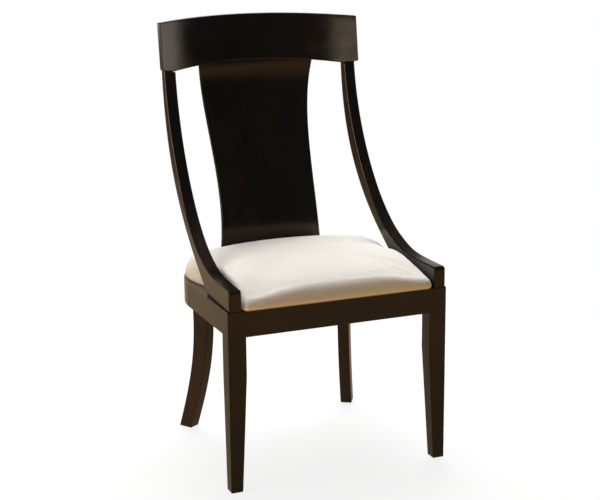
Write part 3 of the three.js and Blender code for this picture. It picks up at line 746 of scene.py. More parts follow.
@dataclass
class SeatFrame:
    """The four rails, the tapered front legs and the sabre rear legs, in millimetres."""

    bench: Bench
    top: float = 416
    front_bottom: float = 357
    side_bottom: float = 361
    half: float = 265
    depth: float = 447
    front_thickness: float = 25
    side_thickness: float = 26
    side_straight: float = 267
    side_radius: float = 215
    side_turn: float = math.radians(24)
    corner_radius: float = 45
    rear_radius: float = 900
    joint_offset: float = 150
    leg_width: float = 42
    leg_depth: float = 39
    foot_width: float = 28
    foot_depth: float = 29
    taper_top: float = 268
    foot_bottom: float = 1
    rear_place: Flat = (190, 371)
    rear_turn: float = math.radians(32)
    rear_width: float = 29
    rear_depth: float = 44
    rear_foot_depth: float = 37
    rear_sweep: float = 58
    sabre: tuple[Flat, Flat] = ((-0.11, 0.6), (0.16, 0.4))
    edge: float = 1.3
    leg_edge: float = 2.2
    joint_lap: float = 0.0003
    post_lap: float = 0.02
    arc_steps: int = 12
    joint_steps: int = 3
    bow_steps: int = 24
    sabre_steps: int = 26

    def build(self) -> None:
        """Builds the rails and the four legs."""
        self.front_rail()
        self.rear_rail()
        for side in Side:
            self.side_rail(side)
            self.front_leg(side)
            self.rear_leg(side)

    def front_rail(self) -> None:
        """The straight rail between the front legs."""
        reach = self.half - self.leg_width
        back = self.front_thickness
        corners = [(-reach, 0), (reach, 0), (reach, back), (-reach, back)]
        outline = [(x, y, self.front_bottom) for x, y in corners]
        mesh = slab(outline, (0, 0, self.top - self.front_bottom))
        soften(mesh, self.edge, lambda edge: keen(edge) and runs(edge, 0))
        self.bench.wooden("front_rail", mesh, "wood_across")

    def corner(self) -> tuple[Flat, float]:
        """The arc at a rear corner of the frame.

        Returns:
            Its centre, and the angle at which it meets the rear arc.
        """
        out = (math.cos(self.side_turn), math.sin(self.side_turn))
        along = (-out[1], out[0])
        away = self.side_radius - self.corner_radius
        start = (self.half - self.side_radius + away * out[0], self.side_straight + away * out[1])
        reach = (start[0], start[1] - self.depth + self.rear_radius)
        lead = reach[0] * along[0] + reach[1] * along[1]
        room = (self.rear_radius - self.corner_radius) ** 2 - reach[0] ** 2 - reach[1] ** 2
        travel = -lead + math.sqrt(lead ** 2 + room)
        centre = (start[0] + travel * along[0], start[1] + travel * along[1])
        return centre, math.atan2(centre[1] - self.depth + self.rear_radius, centre[0])

    def side_line(self, inset: float, end: float) -> list[Flat]:
        """The frame's outline from a front leg round to an angle on the rear arc.

        Args:
            inset: How far inside the frame it runs.
            end: The angle that it ends at.

        Returns:
            The points.
        """
        corner, bow = self.corner()
        side = (self.half - self.side_radius, self.side_straight)
        rear = (0, self.depth - self.rear_radius)
        return [
            (self.half - inset, self.leg_depth),
            *arc_points(side, self.side_radius - inset, 0, self.side_turn, self.arc_steps),
            *arc_points(corner, self.corner_radius - inset, self.side_turn, bow, self.arc_steps),
            *arc_points(rear, self.rear_radius - inset, bow, end, self.joint_steps)[1:],
        ]

    def side_rail(self, side: Side) -> None:
        """A rail that runs straight back from its leg and then curves in.

        Args:
            side: The side that it is on.
        """
        joint = math.acos(self.joint_offset / self.rear_radius)
        plan = self.side_line(0, joint) + self.side_line(self.side_thickness, joint)[::-1]
        outline = [(x, y, self.side_bottom) for x, y in plan]
        mesh = slab(outline, (0, 0, self.top - self.side_bottom))
        front = self.leg_depth
        soften(mesh, self.edge, lambda edge: self.level(edge) and not lies(edge, 1, front))
        self.bench.wooden(f"{side.name.lower()}_side_rail", mesh, "wood_backward", side)

    def level(self, edge: Edge) -> bool:
        """Picks the long edges of a rail's top and underside.

        Args:
            edge: An edge of the rail.

        Returns:
            True for one of them, and not for an edge across the rail's end at the rear joint.
        """
        if not lies(edge, 2, self.top) and not lies(edge, 2, self.side_bottom):
            return False
        centre = Vector((0, self.depth - self.rear_radius))
        first, second = ((vert.co.xy - centre).length for vert in edge.verts)
        return abs(first - second) <= self.side_thickness / 2

    def rear_rail(self) -> None:
        """The bowed rail behind the splat's foot."""
        joint = math.acos(self.joint_offset / self.rear_radius) + self.joint_lap
        centre = (0, self.depth - self.rear_radius)
        outer, inner = (
            arc_points(centre, radius, joint, math.pi - joint, self.bow_steps)
            for radius in (self.rear_radius, self.rear_radius - self.side_thickness)
        )
        outline = [(x, y, self.side_bottom) for x, y in outer + inner[::-1]]
        mesh = slab(outline, (0, 0, self.top - self.side_bottom))
        soften(mesh, self.edge, self.level)
        self.bench.wooden("rear_rail", mesh, "wood_across")

    def front_leg(self, side: Side) -> None:
        """A square leg whose inner faces taper to the foot.

        Args:
            side: The side that it is on.
        """
        inner = self.half - self.leg_width
        corners = [(inner, 0), (self.half, 0), (self.half, self.leg_depth), (inner, self.leg_depth)]
        mesh = slab([(x, y, self.top) for x, y in corners], (0, 0, self.side_bottom - self.top))
        for height in (self.front_bottom, self.taper_top, self.foot_bottom):
            low = min(mesh.faces, key=lambda face: face.calc_center_median().z)
            drawn = bmesh.ops.extrude_face_region(mesh, geom=[low])
            moved = [item for item in drawn["geom"] if isinstance(item, Vert)]
            bmesh.ops.delete(mesh, geom=[low], context="FACES_ONLY")
            bmesh.ops.translate(mesh, verts=moved, vec=(0, 0, height - moved[0].co.z))
        for vert in moved:
            if vert.co.x < self.half - NEAR:
                vert.co.x = self.half - self.foot_width
            if vert.co.y > NEAR:
                vert.co.y = self.foot_depth
        soften(mesh, self.leg_edge, self.leg_edges)
        self.bench.wooden(f"{side.name.lower()}_front_leg", mesh, "wood_upright", side)

    def leg_edges(self, edge: Edge) -> bool:
        """Picks the edges of a front leg that no rail runs into.

        Args:
            edge: An edge of the leg.

        Returns:
            True for one of them.
        """
        if not keen(edge):
            return False
        high = max(vert.co.z for vert in edge.verts)
        if not runs(edge, 2):
            return high > self.top - NEAR or high < self.foot_bottom + NEAR
        middle = (edge.verts[0].co + edge.verts[1].co) / 2
        outer = middle.x > self.half - NEAR
        if outer and middle.y < NEAR:
            return True
        return high < (self.side_bottom if outer else self.front_bottom) + NEAR

    def rear_leg(self, side: Side) -> None:
        """A leg that sweeps back in a sabre curve, turned outward, under the CAD node's post.

        Args:
            side: The side that it is on.
        """
        rise = self.side_bottom
        handles = [(sweep * self.rear_sweep, up * rise) for sweep, up in self.sabre]
        back = self.rear_depth - (self.rear_depth - self.rear_foot_depth) / 2
        ankle = (self.rear_sweep, self.foot_bottom)
        heel = (self.rear_sweep + self.rear_foot_depth, self.foot_bottom)
        front = curve_points((0, rise), handles[0], handles[1], ankle, self.sabre_steps)
        behind = [(across + back, up) for across, up in handles]
        rear = curve_points(heel, behind[1], behind[0], (self.rear_depth, rise), self.sabre_steps)
        mesh = slab([(-self.rear_width, y, z) for y, z in front + rear], (self.rear_width, 0, 0))
        soften(mesh, self.leg_edge, lambda edge: (
            not lies(edge, 2, rise)
            and (keen(edge) or lies(edge, 0, 0) or lies(edge, 0, -self.rear_width))
        ))
        place = Matrix.Translation((*self.rear_place, 0)) @ Matrix.Rotation(-self.rear_turn, 4, "Z")
        bmesh.ops.transform(mesh, matrix=self.bench.matrix(side) @ place, verts=mesh.verts)
        name = f"{side.name.lower()}_rear_leg"
        self.post(mesh, name)
        # The rear legs' wood is a lighter, browner copy: partly redder stain, partly painted warm
        # bounce light.
        self.bench.finish(f"{name}_finished", mesh, "wood_sabre_stain_and_painted_bounce", "finished_wood", [name])

    def post(self, mesh: Mesh, name: str) -> None:
        """Adds the part of the CAD leg that stands inside the frame.

        Args:
            mesh: The leg's mesh.
            name: The leg's CAD node.
        """
        inside = bmesh.new()
        inside.from_mesh(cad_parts[name].data)
        bmesh.ops.remove_doubles(inside, verts=inside.verts, dist=SAME * MM)
        level = (0, 0, (self.side_bottom - self.post_lap) * MM)
        bmesh.ops.edgenet_fill(inside, edges=cut_off(inside, level, (0, 0, -1)))
        spare = bpy.data.meshes.new("post")
        inside.to_mesh(spare)
        inside.free()
        mesh.from_mesh(spare)
        bpy.data.meshes.remove(spare)


@dataclass
class Back:
    """The crest rail, the splat and the two arms, in millimetres."""

    bench: Bench
    rail_top: float = 416
    crest_half: float = 254.5
    crest_sag: float = 64
    crest_thickness: float = 22
    crest_top: float = 1000
    crest_bottom: float = 889.5
    crest_lean: float = 14
    crest_front: float = 512.5
    crown: float = 10.5
    lobe: float = 222
    lobe_drop: float = 5
    arch: float = 15.3
    corner: float = 4
    splat_thickness: float = 12
    splat_foot: float = 430.5
    splat_head: float = 515.5
    foot_half: float = 134
    head_half: float = 147.25
    splat_curve: tuple[Flat, Flat] = ((-0.38, 0.366), (1.4, 0.698))
    splat_waist: tuple[Flat, Flat] = ((0.797, 0.304), (0.842, 0.603))
    arm_outer: float = 261.7
    arm_thickness: float = 29
    arm_turn: float = math.atan(13.5 / 460)
    nose: float = 47.5
    nose_radius: float = 8
    heel: float = 157
    arm_run: float = 460
    head_depth: float = 23
    bend: Flat = (205, 76.7)
    arm_foot: tuple[Flat, Flat] = ((0.623, 0.089), (0.695, 0.106))
    arm_sweep: tuple[Flat, Flat] = ((0.417, 0.114), (0.911, 0.528))
    arm_back: tuple[Flat, Flat] = ((0.511, 0.226), (0.949, 0.469))
    edge: float = 2.0
    crest_edge: float = 2.6
    crest_edge_steps: int = 4
    arm_edge: float = 3.2
    tuck: float = 0.1
    least_rise: float = 2.0
    crest_cells: tuple[int, int] = (72, 10)
    splat_cells: tuple[int, int] = (28, 56)
    splat_steps: int = 60
    back_steps: int = 44
    sweep_steps: int = 34
    foot_steps: int = 22
    nose_steps: int = 8

    def build(self) -> None:
        """Builds the crest rail, the splat and both arms."""
        self.crest_rail()
        self.splat()
        for side in Side:
            self.arm(side)

    def bow(self, across: float) -> float:
        """How far forward of the middle the crest's curve is."""
        radius = (self.crest_half ** 2 + self.crest_sag ** 2) / (2 * self.crest_sag)
        return radius - math.sqrt(radius ** 2 - across ** 2)

    def underside(self, across: float) -> float:
        """Height of the crest rail's lower edge.

        Args:
            across: The distance from the middle.

        Returns:
            The height.
        """
        lobe = self.crest_bottom - self.lobe_drop
        share = abs(across) / self.lobe
        if share <= 1:
            return lobe + self.arch * (1 - share ** 2)
        return lobe + self.lobe_drop * (abs(across) - self.lobe) / (self.crest_half - self.lobe)

    def topside(self, across: float) -> float:
        """Height of the crest rail's upper edge.

        Args:
            across: The distance from the middle.

        Returns:
            The height.
        """
        share = abs(across) / (self.crest_half - self.corner)
        return self.crest_top + self.crown * (1 - min(share, 1) ** 2)

    def sheet(
        self, steps: tuple[int, int], thickness: float, place: Callable[[float, float], Spot]
    ) -> Mesh:
        """A curved board: a grid laid on its front face, drawn back by its thickness.

        Args:
            steps: Its cells across and up.
            thickness: How far it is drawn back.
            place: Where the point at a share across, from -1 to 1, and a share up is.

        Returns:
            The mesh.
        """
        mesh = bmesh.new()
        bmesh.ops.create_grid(mesh, x_segments=steps[0], y_segments=steps[1], size=1)
        for vert in mesh.verts:
            vert.co = place(vert.co.x, (vert.co.y + 1) / 2)
        drawn = bmesh.ops.extrude_face_region(mesh, geom=mesh.faces[:], use_keep_orig=True)
        moved = [item for item in drawn["geom"] if isinstance(item, Vert)]
        bmesh.ops.translate(mesh, verts=moved, vec=(0, thickness, 0))
        bmesh.ops.recalc_face_normals(mesh, faces=mesh.faces)
        return mesh

    def crest_rail(self) -> None:
        """The bowed board across the top of the back."""
        slope = self.crest_lean / (self.crest_top - self.crest_bottom)

        def place(across: float, up: float) -> Vector:
            """A point of the front face.

            Args:
                across: Its share across, from -1 to 1.
                up: Its share of the way up.

            Returns:
                The point.
            """
            x = across * self.crest_half
            z = self.underside(x) * (1 - up) + self.topside(x) * up
            return Vector((x, self.crest_front + slope * (z - self.crest_bottom) - self.bow(x), z))

        mesh = self.sheet(self.crest_cells, self.crest_thickness, place)
        soften(mesh, self.crest_edge, keen, self.crest_edge_steps)
        self.bench.wooden("crest_rail", mesh, "wood_across")

    def splat(self) -> None:
        """The bent and waisted board between the rear rail and the crest rail."""
        rise = self.crest_bottom - self.rail_top
        run = self.splat_head - self.splat_foot
        low = self.rail_top
        bends = [(self.splat_foot + back * run, low + up * rise) for back, up in self.splat_curve]
        head = (self.splat_head, self.crest_bottom)
        face = curve_points((self.splat_foot, low), *bends, head, self.splat_steps)
        waists = [(width * self.head_half, low + up * rise) for width, up in self.splat_waist]
        shoulder = (self.head_half, self.crest_bottom)
        side = curve_points((self.foot_half, low), *waists, shoulder, self.splat_steps)

        def place(across: float, up: float) -> Vector:
            """A point of the front face.

            Args:
                across: Its share across, from -1 to 1.
                up: Its share of the way up.

            Returns:
                The point.
            """
            x = across * follow(side, low + up * rise)
            z = low + up * (self.underside(x) - self.tuck - low)
            return Vector((x, follow(face, z) - self.bow(x), z))

        mesh = self.sheet(self.splat_cells, self.splat_thickness, place)
        soften(mesh, self.edge, lambda edge: keen(edge) and runs(edge, 2, self.least_rise))
        self.bench.wooden("back_splat", mesh, "wood_upright")

    def arm(self, side: Side) -> None:
        """A plank that lies on the side rail and sweeps up to the crest rail.

        Args:
            side: The side that it is on.
        """
        rise = self.crest_bottom - self.rail_top
        heel = (self.heel, 0.0)
        nape = (self.arm_run + self.head_depth, rise)
        head = (self.arm_run, rise)
        brow = (self.nose_radius, self.nose)
        rear = [handle(heel, nape, shares) for shares in self.arm_back]
        back = curve_points(heel, *rear, nape, self.back_steps)
        upper = [handle(self.bend, head, shares) for shares in self.arm_sweep]
        sweep = curve_points(head, upper[1], upper[0], self.bend, self.sweep_steps)
        lower = [handle(brow, self.bend, shares) for shares in self.arm_foot]
        foot = curve_points(self.bend, lower[1], lower[0], brow, self.foot_steps)[1:]
        tip = (self.nose_radius, self.nose - self.nose_radius)
        nose = arc_points(tip, self.nose_radius, math.pi / 2, math.pi, self.nose_steps)[1:]
        outline = [(0.0, 0.0), *back, *sweep, *foot, *nose]
        mesh = slab([(-self.arm_thickness, y, z) for y, z in outline], (self.arm_thickness, 0, 0))
        soften(mesh, self.arm_edge, lambda edge: (
            (lies(edge, 0, 0) or lies(edge, 0, -self.arm_thickness)) and not lies(edge, 2, rise)
        ))
        turn = Matrix.Rotation(self.arm_turn, 4, "Z")
        stand = Matrix.Translation((self.arm_outer, 0, self.rail_top))
        bmesh.ops.transform(mesh, matrix=stand @ turn, verts=mesh.verts)
        slant = Vector((-self.lobe_drop, 0, self.crest_half - self.lobe)).normalized()
        edge = (self.crest_half, 0, self.crest_bottom - self.tuck)
        bmesh.ops.edgenet_fill(mesh, edges=cut_off(mesh, edge, slant))
        self.bench.wooden(f"{side.name.lower()}_arm", mesh, "wood_sloping", side)


@dataclass
class SlipSeat:
    """The padded seat in its off-white cover, and the dust cover under it, in millimetres."""

    bench: Bench
    base: float = 416
    front: float = -8
    front_corner: float = 13
    arm_inner: float = 232.1
    arm_slope: float = 13.5 / 460
    notch: float = 200
    half: float = 255
    widest: float = 307
    swell: tuple[Flat, Flat] = ((0.17, 0.13), (0.95, 0.52))
    side_radius: float = 150
    rear: float = 427
    rear_corner: float = 42
    bow_radius: float = 534.5
    shoulder: float = 47.6
    shoulder_run: float = 25
    arm_run: float = 10
    arm_rise: float = 9.5
    press_run: float = 150
    side_run: float = 34
    reach: float = 75
    rear_rise: float = 9
    corner_dip: float = 15
    corner_reach: float = 78
    corner_arm_reach: float = 42
    dome: float = 22
    centre: float = 225
    shrink: float = 2.0
    voxel: float = 5.0
    quality: int = 4
    mass: float = 0.4
    stretch: float = 18
    bend: float = 1.5
    pressure: float = 4.0
    frames: int = 20
    held: float = 3
    cap: float = 3.0
    calm: int = 240
    rim_room: float = 40
    front_room: float = 30
    least_room: float = 0.1
    across_room: float = 0.5
    up_room: float = 0.3
    fold: float = 120
    dust_cut: float = 75
    dust_sag: float = 3.5
    dust_thickness: float = 0.4
    dust_cells: tuple[int, int] = (40, 32)
    front_steps: int = 16
    corner_steps: int = 8
    side_steps: int = 6
    long_steps: int = 12
    lip: tuple[float, ...] = (15, 30, 45, 58, 70, 80, 90)
    crown: tuple[float, ...] = (0.92, 0.82, 0.7, 0.56, 0.42, 0.28, 0.14, 0.03)

    def build(self) -> None:
        """Builds the cushion and the dust cover."""
        self.cushion()
        self.dust_cover()

    def arm_line(self, run: float) -> float:
        """How far across the arm's inner face is, less the cloth's clearance."""
        return self.arm_inner - run * self.arm_slope

    def rear_arc(self) -> tuple[Flat, Flat, Flat]:
        """The centres of the arcs at the pad's side, at its rear corner and along its rear.

        Returns:
            The three centres.
        """
        side = (self.half - self.side_radius, self.widest)
        bow = (0.0, self.rear - self.bow_radius)
        near = self.side_radius - self.rear_corner
        far = self.bow_radius - self.rear_corner
        reach = math.dist(side, bow)
        along = (far ** 2 - near ** 2 + reach ** 2) / (2 * reach)
        across = math.sqrt(far ** 2 - along ** 2)
        ahead = ((side[0] - bow[0]) / reach, (side[1] - bow[1]) / reach)
        corner = (
            bow[0] + along * ahead[0] + across * ahead[1],
            bow[1] + along * ahead[1] - across * ahead[0],
        )
        return side, corner, bow

    def plan(self) -> list[Flat]:
        """The pad's widest outline: between the arms, then out behind them and round the back.

        Returns:
            Its points, from the middle of the front round to the right.
        """
        corner = (self.arm_line(0) - self.front_corner, self.front + self.front_corner)
        notch = (self.arm_line(self.notch), self.notch)
        widest = (self.half, self.widest)
        handles = [handle(notch, widest, shares) for shares in self.swell]
        side, rear, bow = self.rear_arc()
        turn = math.atan2(rear[1] - side[1], rear[0] - side[0])
        start = math.atan2(rear[1] - bow[1], rear[0] - bow[0])
        across = [step / self.front_steps * corner[0] for step in range(self.front_steps)]
        along = [step / self.long_steps * self.notch for step in range(2, self.long_steps)]
        right = [
            *[(x, self.front) for x in across],
            *arc_points(corner, self.front_corner, -math.pi / 2, 0, self.corner_steps),
            *[(self.arm_line(y), y) for y in along],
            *curve_points(notch, *handles, widest, self.long_steps),
            *arc_points(side, self.side_radius, 0, turn, self.side_steps)[1:],
            *arc_points(rear, self.rear_corner, turn, start, self.corner_steps)[1:],
            *arc_points(bow, self.bow_radius, start, math.pi / 2, self.long_steps)[1:],
        ]
        left = [(-x, y) for x, y in right[1:-1]][::-1]
        return right + left

    def edge(self, point: Flat) -> Flat:
        """The shoulder at one point of the outline.

        Args:
            point: The point.

        Returns:
            How far the shoulder runs in, and its rise over the middle's.
        """
        press = math.exp(-((point[1] - self.press_run) / self.reach) ** 2)
        swell = math.exp(-((point[1] - self.widest) / self.reach) ** 2)
        across = (self.arm_line(0) - abs(point[0])) / self.corner_reach
        along = (point[1] - self.front) / self.corner_arm_reach
        narrower = self.arm_run - self.shoulder_run
        wider = self.side_run - self.shoulder_run
        run = self.shoulder_run + press * narrower + swell * wider
        rise = self.rear_rise * (point[1] / self.rear - 0.5) + press * self.arm_rise
        rise -= self.corner_dip * math.exp(-(across ** 2 + along ** 2))
        return run, rise

    def skin(self, point: Flat, angle: float, kept: float) -> Vector:
        """A point of the pad's skin.

        Args:
            point: The point of the outline that it is drawn in from.
            angle: How far up the shoulder it is, in radians.
            kept: The share of the way out from the middle.

        Returns:
            The point.
        """
        run, rise = self.edge(point)
        middle = Vector((0, self.centre))
        away = Vector(point) - middle
        drawn = self.shrink + run * (1 - math.cos(angle))
        place = middle + away * kept * (1 - drawn / away.length)
        height = (self.shoulder + rise * kept ** 2 - self.shrink) * math.sin(angle)
        return Vector((place.x, place.y, self.base + height + self.dome * (1 - kept ** 3)))

    def pad(self) -> Mesh:
        """The closed pad, drawn up ring by ring from its flat underside.

        Returns:
            The mesh, in millimetres.
        """
        plan = self.plan()
        mesh = bmesh.new()
        station = mesh.verts.layers.int.new("station")
        ring = [mesh.verts.new(self.skin(point, 0, 1)) for point in plan]
        for number, vert in enumerate(ring):
            vert[station] = number
        floor = mesh.faces.new(ring)
        rings = [(math.radians(angle), 1.0) for angle in self.lip]
        rings += [(math.pi / 2, kept) for kept in self.crown]
        edges = floor.edges[:]
        for angle, kept in rings:
            drawn = bmesh.ops.extrude_edge_only(mesh, edges=edges)
            edges = [item for item in drawn["geom"] if isinstance(item, Edge)]
            for vert in {vert for edge in edges for vert in edge.verts}:
                vert.co = self.skin(plan[vert[station]], angle, kept)
        bmesh.ops.holes_fill(mesh, edges=edges)
        bmesh.ops.recalc_face_normals(mesh, faces=mesh.faces)
        return mesh

    def cushion(self) -> None:
        """The pad: its skin, filled by a cloth simulation and then capped to its room."""
        mesh = self.pad()
        bmesh.ops.transform(mesh, matrix=self.bench.matrix(), verts=mesh.verts)
        pad = placed("seat_cushion", mesh, self.bench.finishes["cover_cloth"])
        remesh = pad.modifiers.new("voxels", "REMESH")
        remesh.mode = "VOXEL"
        remesh.voxel_size = self.voxel * MM
        self.apply(pad)
        self.fill(pad)
        smooth = pad.modifiers.new("smooth", "SUBSURF")
        smooth.levels = 1
        smooth.render_levels = 1
        self.apply(pad)
        self.lay_weave(pad.data)
        for polygon in pad.data.polygons:
            polygon.use_smooth = True
        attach(pad, "root")
        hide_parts("seat_cover", "seat_foam")
        log.info("seat_cushion: %d faces", len(pad.data.polygons))

    def apply(self, piece: Piece) -> None:
        """Makes a piece's modifiers part of its mesh.

        Args:
            piece: The piece.
        """
        graph = bpy.context.evaluated_depsgraph_get()
        made = bpy.data.meshes.new_from_object(piece.evaluated_get(graph))
        piece.modifiers.clear()
        piece.data = made

    def fill(self, pad: Piece) -> None:
        """Fills the pad with air in a cloth simulation, then calms and caps how far it swells.

        Args:
            pad: The pad.
        """
        scene = bpy.context.scene
        rest = [vert.co.copy() for vert in pad.data.vertices]
        held = pad.vertex_groups.new(name="held")
        floor = (self.base + self.held) * MM
        held.add([vert.index for vert in pad.data.vertices if vert.co.z < floor], 1.0, "REPLACE")
        cloth = pad.modifiers.new("cloth", "CLOTH")
        cloth.settings.quality = self.quality
        cloth.settings.mass = self.mass
        cloth.settings.tension_stiffness = self.stretch
        cloth.settings.compression_stiffness = self.stretch
        cloth.settings.bending_stiffness = self.bend
        cloth.settings.use_pressure = True
        cloth.settings.uniform_pressure_force = self.pressure
        cloth.settings.vertex_group_mass = "held"
        cloth.settings.effector_weights.gravity = 0
        cloth.collision_settings.use_collision = False
        cloth.point_cache.frame_start = 1
        cloth.point_cache.frame_end = self.frames
        for number in range(1, self.frames + 1):
            scene.frame_set(number)
        graph = bpy.context.evaluated_depsgraph_get()
        swollen = pad.evaluated_get(graph).to_mesh()
        moved = [vert.co.copy() for vert in swollen.vertices]
        pad.evaluated_get(graph).to_mesh_clear()
        pad.modifiers.clear()
        pad.vertex_groups.clear()
        scene.frame_set(1)
        steps = [end - start for start, end in zip(rest, moved)]
        pairs = [tuple(edge.vertices) for edge in pad.data.edges]
        for _ in range(self.calm):
            steps = self.averaged(steps, pairs)
        for vert, start, step in zip(pad.data.vertices, rest, steps):
            across, up = self.room(start / MM)
            step = Vector((step.x * across, step.y * across, step.z * up))
            if step.length > self.cap * MM:
                step *= self.cap * MM / step.length
            vert.co = start + step

    def averaged(self, steps: list[Vector], pairs: list[tuple[int, int]]) -> list[Vector]:
        """Evens out each vertex's step with those of its neighbours.

        Args:
            steps: How far each vertex moves.
            pairs: The two ends of each edge.

        Returns:
            The new steps.
        """
        sums = [step.copy() for step in steps]
        counts = [1] * len(steps)
        for first, second in pairs:
            sums[first] += steps[second]
            sums[second] += steps[first]
            counts[first] += 1
            counts[second] += 1
        return [total / count for total, count in zip(sums, counts)]

    def room(self, place: Vector) -> Flat:
        """How freely the pad may swell at a place.

        Args:
            place: The place, in millimetres of the chair's frame.

        Returns:
            Its shares across and upwards, small near the rim and beside an arm or the splat.
        """
        run = place.y - self.bench.front / MM
        fade = min(1.0, max(0.0, (place.z - self.base) / self.shoulder))
        beside = (self.half - abs(place.x)) / self.rim_room
        behind = (self.rear - run) / self.rim_room
        free = min(1.0, beside, (run - self.front) / self.front_room, behind)
        across = max(self.least_room, free) * self.across_room
        up = self.up_room + (1 - self.up_room) * max(0.0, free)
        return fade * across, fade * up

    def lay_weave(self, data: bpy.types.Mesh) -> None:
        """Stores where the cloth's threads run: flat over the top, and down each side.

        Args:
            data: The cushion's mesh.
        """
        weave = data.attributes.new("weave", "FLOAT_VECTOR", "POINT")
        top = (self.base + self.shoulder + self.dome) * MM
        middle = self.bench.front + self.centre * MM
        fold = self.fold * MM
        values = []
        for vert in data.vertices:
            drop = top - vert.co.z
            across = vert.co.x + drop * math.tanh(vert.co.x / fold)
            along = vert.co.y + drop * math.tanh((vert.co.y - middle) / fold)
            values.extend((across, along, 0.0))
        weave.data.foreach_set("vector", values)

    def dust_cover(self) -> None:
        """The black cloth under the seat board, sagging a little."""
        low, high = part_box("dust_cover")
        centre = (low + high) / 2
        size = high - low
        cut = self.dust_cut * MM
        mesh = bmesh.new()
        wide, deep = self.dust_cells
        bmesh.ops.create_grid(mesh, x_segments=wide, y_segments=deep, size=1)
        stretch = Matrix.Diagonal((size.x / 2, size.y / 2, 1, 1))
        stand = Matrix.Translation((centre.x, centre.y, high.z))
        bmesh.ops.transform(mesh, matrix=stand @ stretch, verts=mesh.verts)
        for x in (-1, 1):
            for y in (-1, 1):
                corner = (centre.x + x * (size.x / 2 - cut), centre.y + y * size.y / 2, 0)
                cut_off(mesh, corner, (x, y, 0))
        for vert in mesh.verts:
            across = (vert.co.x - centre.x) / (size.x / 2)
            along = (vert.co.y - centre.y) / (size.y / 2)
            sag = self.dust_sag * max(0.0, (1 - across ** 2) * (1 - along ** 2))
            vert.co.z = high.z - (self.dust_thickness + sag) * MM
        area = sum(face.calc_area() for face in mesh.faces)
        bmesh.ops.solidify(mesh, geom=mesh.faces[:], thickness=self.dust_thickness * MM)
        cloth = "dust_cloth"
        sheet = self.bench.finish("dust_cover_cloth", mesh, cloth, cloth, ["dust_cover"])


@dataclass
class Hardware:
    """The hidden pieces that keep their CAD shape: blocks, dowels, screws, glides and the board."""

    bench: Bench

    def build(self) -> None:
        """Gives every CAD node its material, also those that other pieces stand for."""
        finishes = (
            ("corner_block_screw", "screw_steel"),
            ("seat_screw", "screw_steel"),
            ("dowel", "bare_wood"),
            ("corner_block", "bare_wood"),
            ("glide", "glide_nylon"),
            ("seat_board", "plywood"),
            ("seat_foam", "seat_foam"),
            ("seat_cover", "cover_cloth"),
            ("dust_cover", "dust_cloth"),
            ("", "wood_across"),
        )
        for name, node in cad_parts.items():
            finish = next(finish for part, finish in finishes if part in name)
            node.data.materials.clear()
            node.data.materials.append(self.bench.finishes[finish])
            log.info("%s: %s", name, finish)


@dataclass(frozen=True)
class Softbox:
    """A square lamp: its place, what it points at, its sides, brightness, kind and tint."""

    name: str
    place: Spot
    target: Spot
    size: Flat
    glow: float
    rays: Rays
    tint: Colour = (1.0, 1.0, 1.0)

    def build(self) -> None:
        """Makes the lamp."""
        lamp = bpy.data.lights.new(self.name, "AREA")
        lamp.shape = "RECTANGLE"
        lamp.size, lamp.size_y = self.size
        lamp.energy = self.glow * math.pi * self.size[0] * self.size[1]
        lamp.color = self.tint
        holder = bpy.data.objects.new(self.name, lamp)
        holder.location = self.place
        toward = Vector(self.target) - Vector(self.place)
        holder.rotation_euler = toward.to_track_quat("-Z", "Y").to_euler()
        holder.visible_diffuse, holder.visible_glossy = self.rays.value
        bpy.context.scene.collection.objects.link(holder)


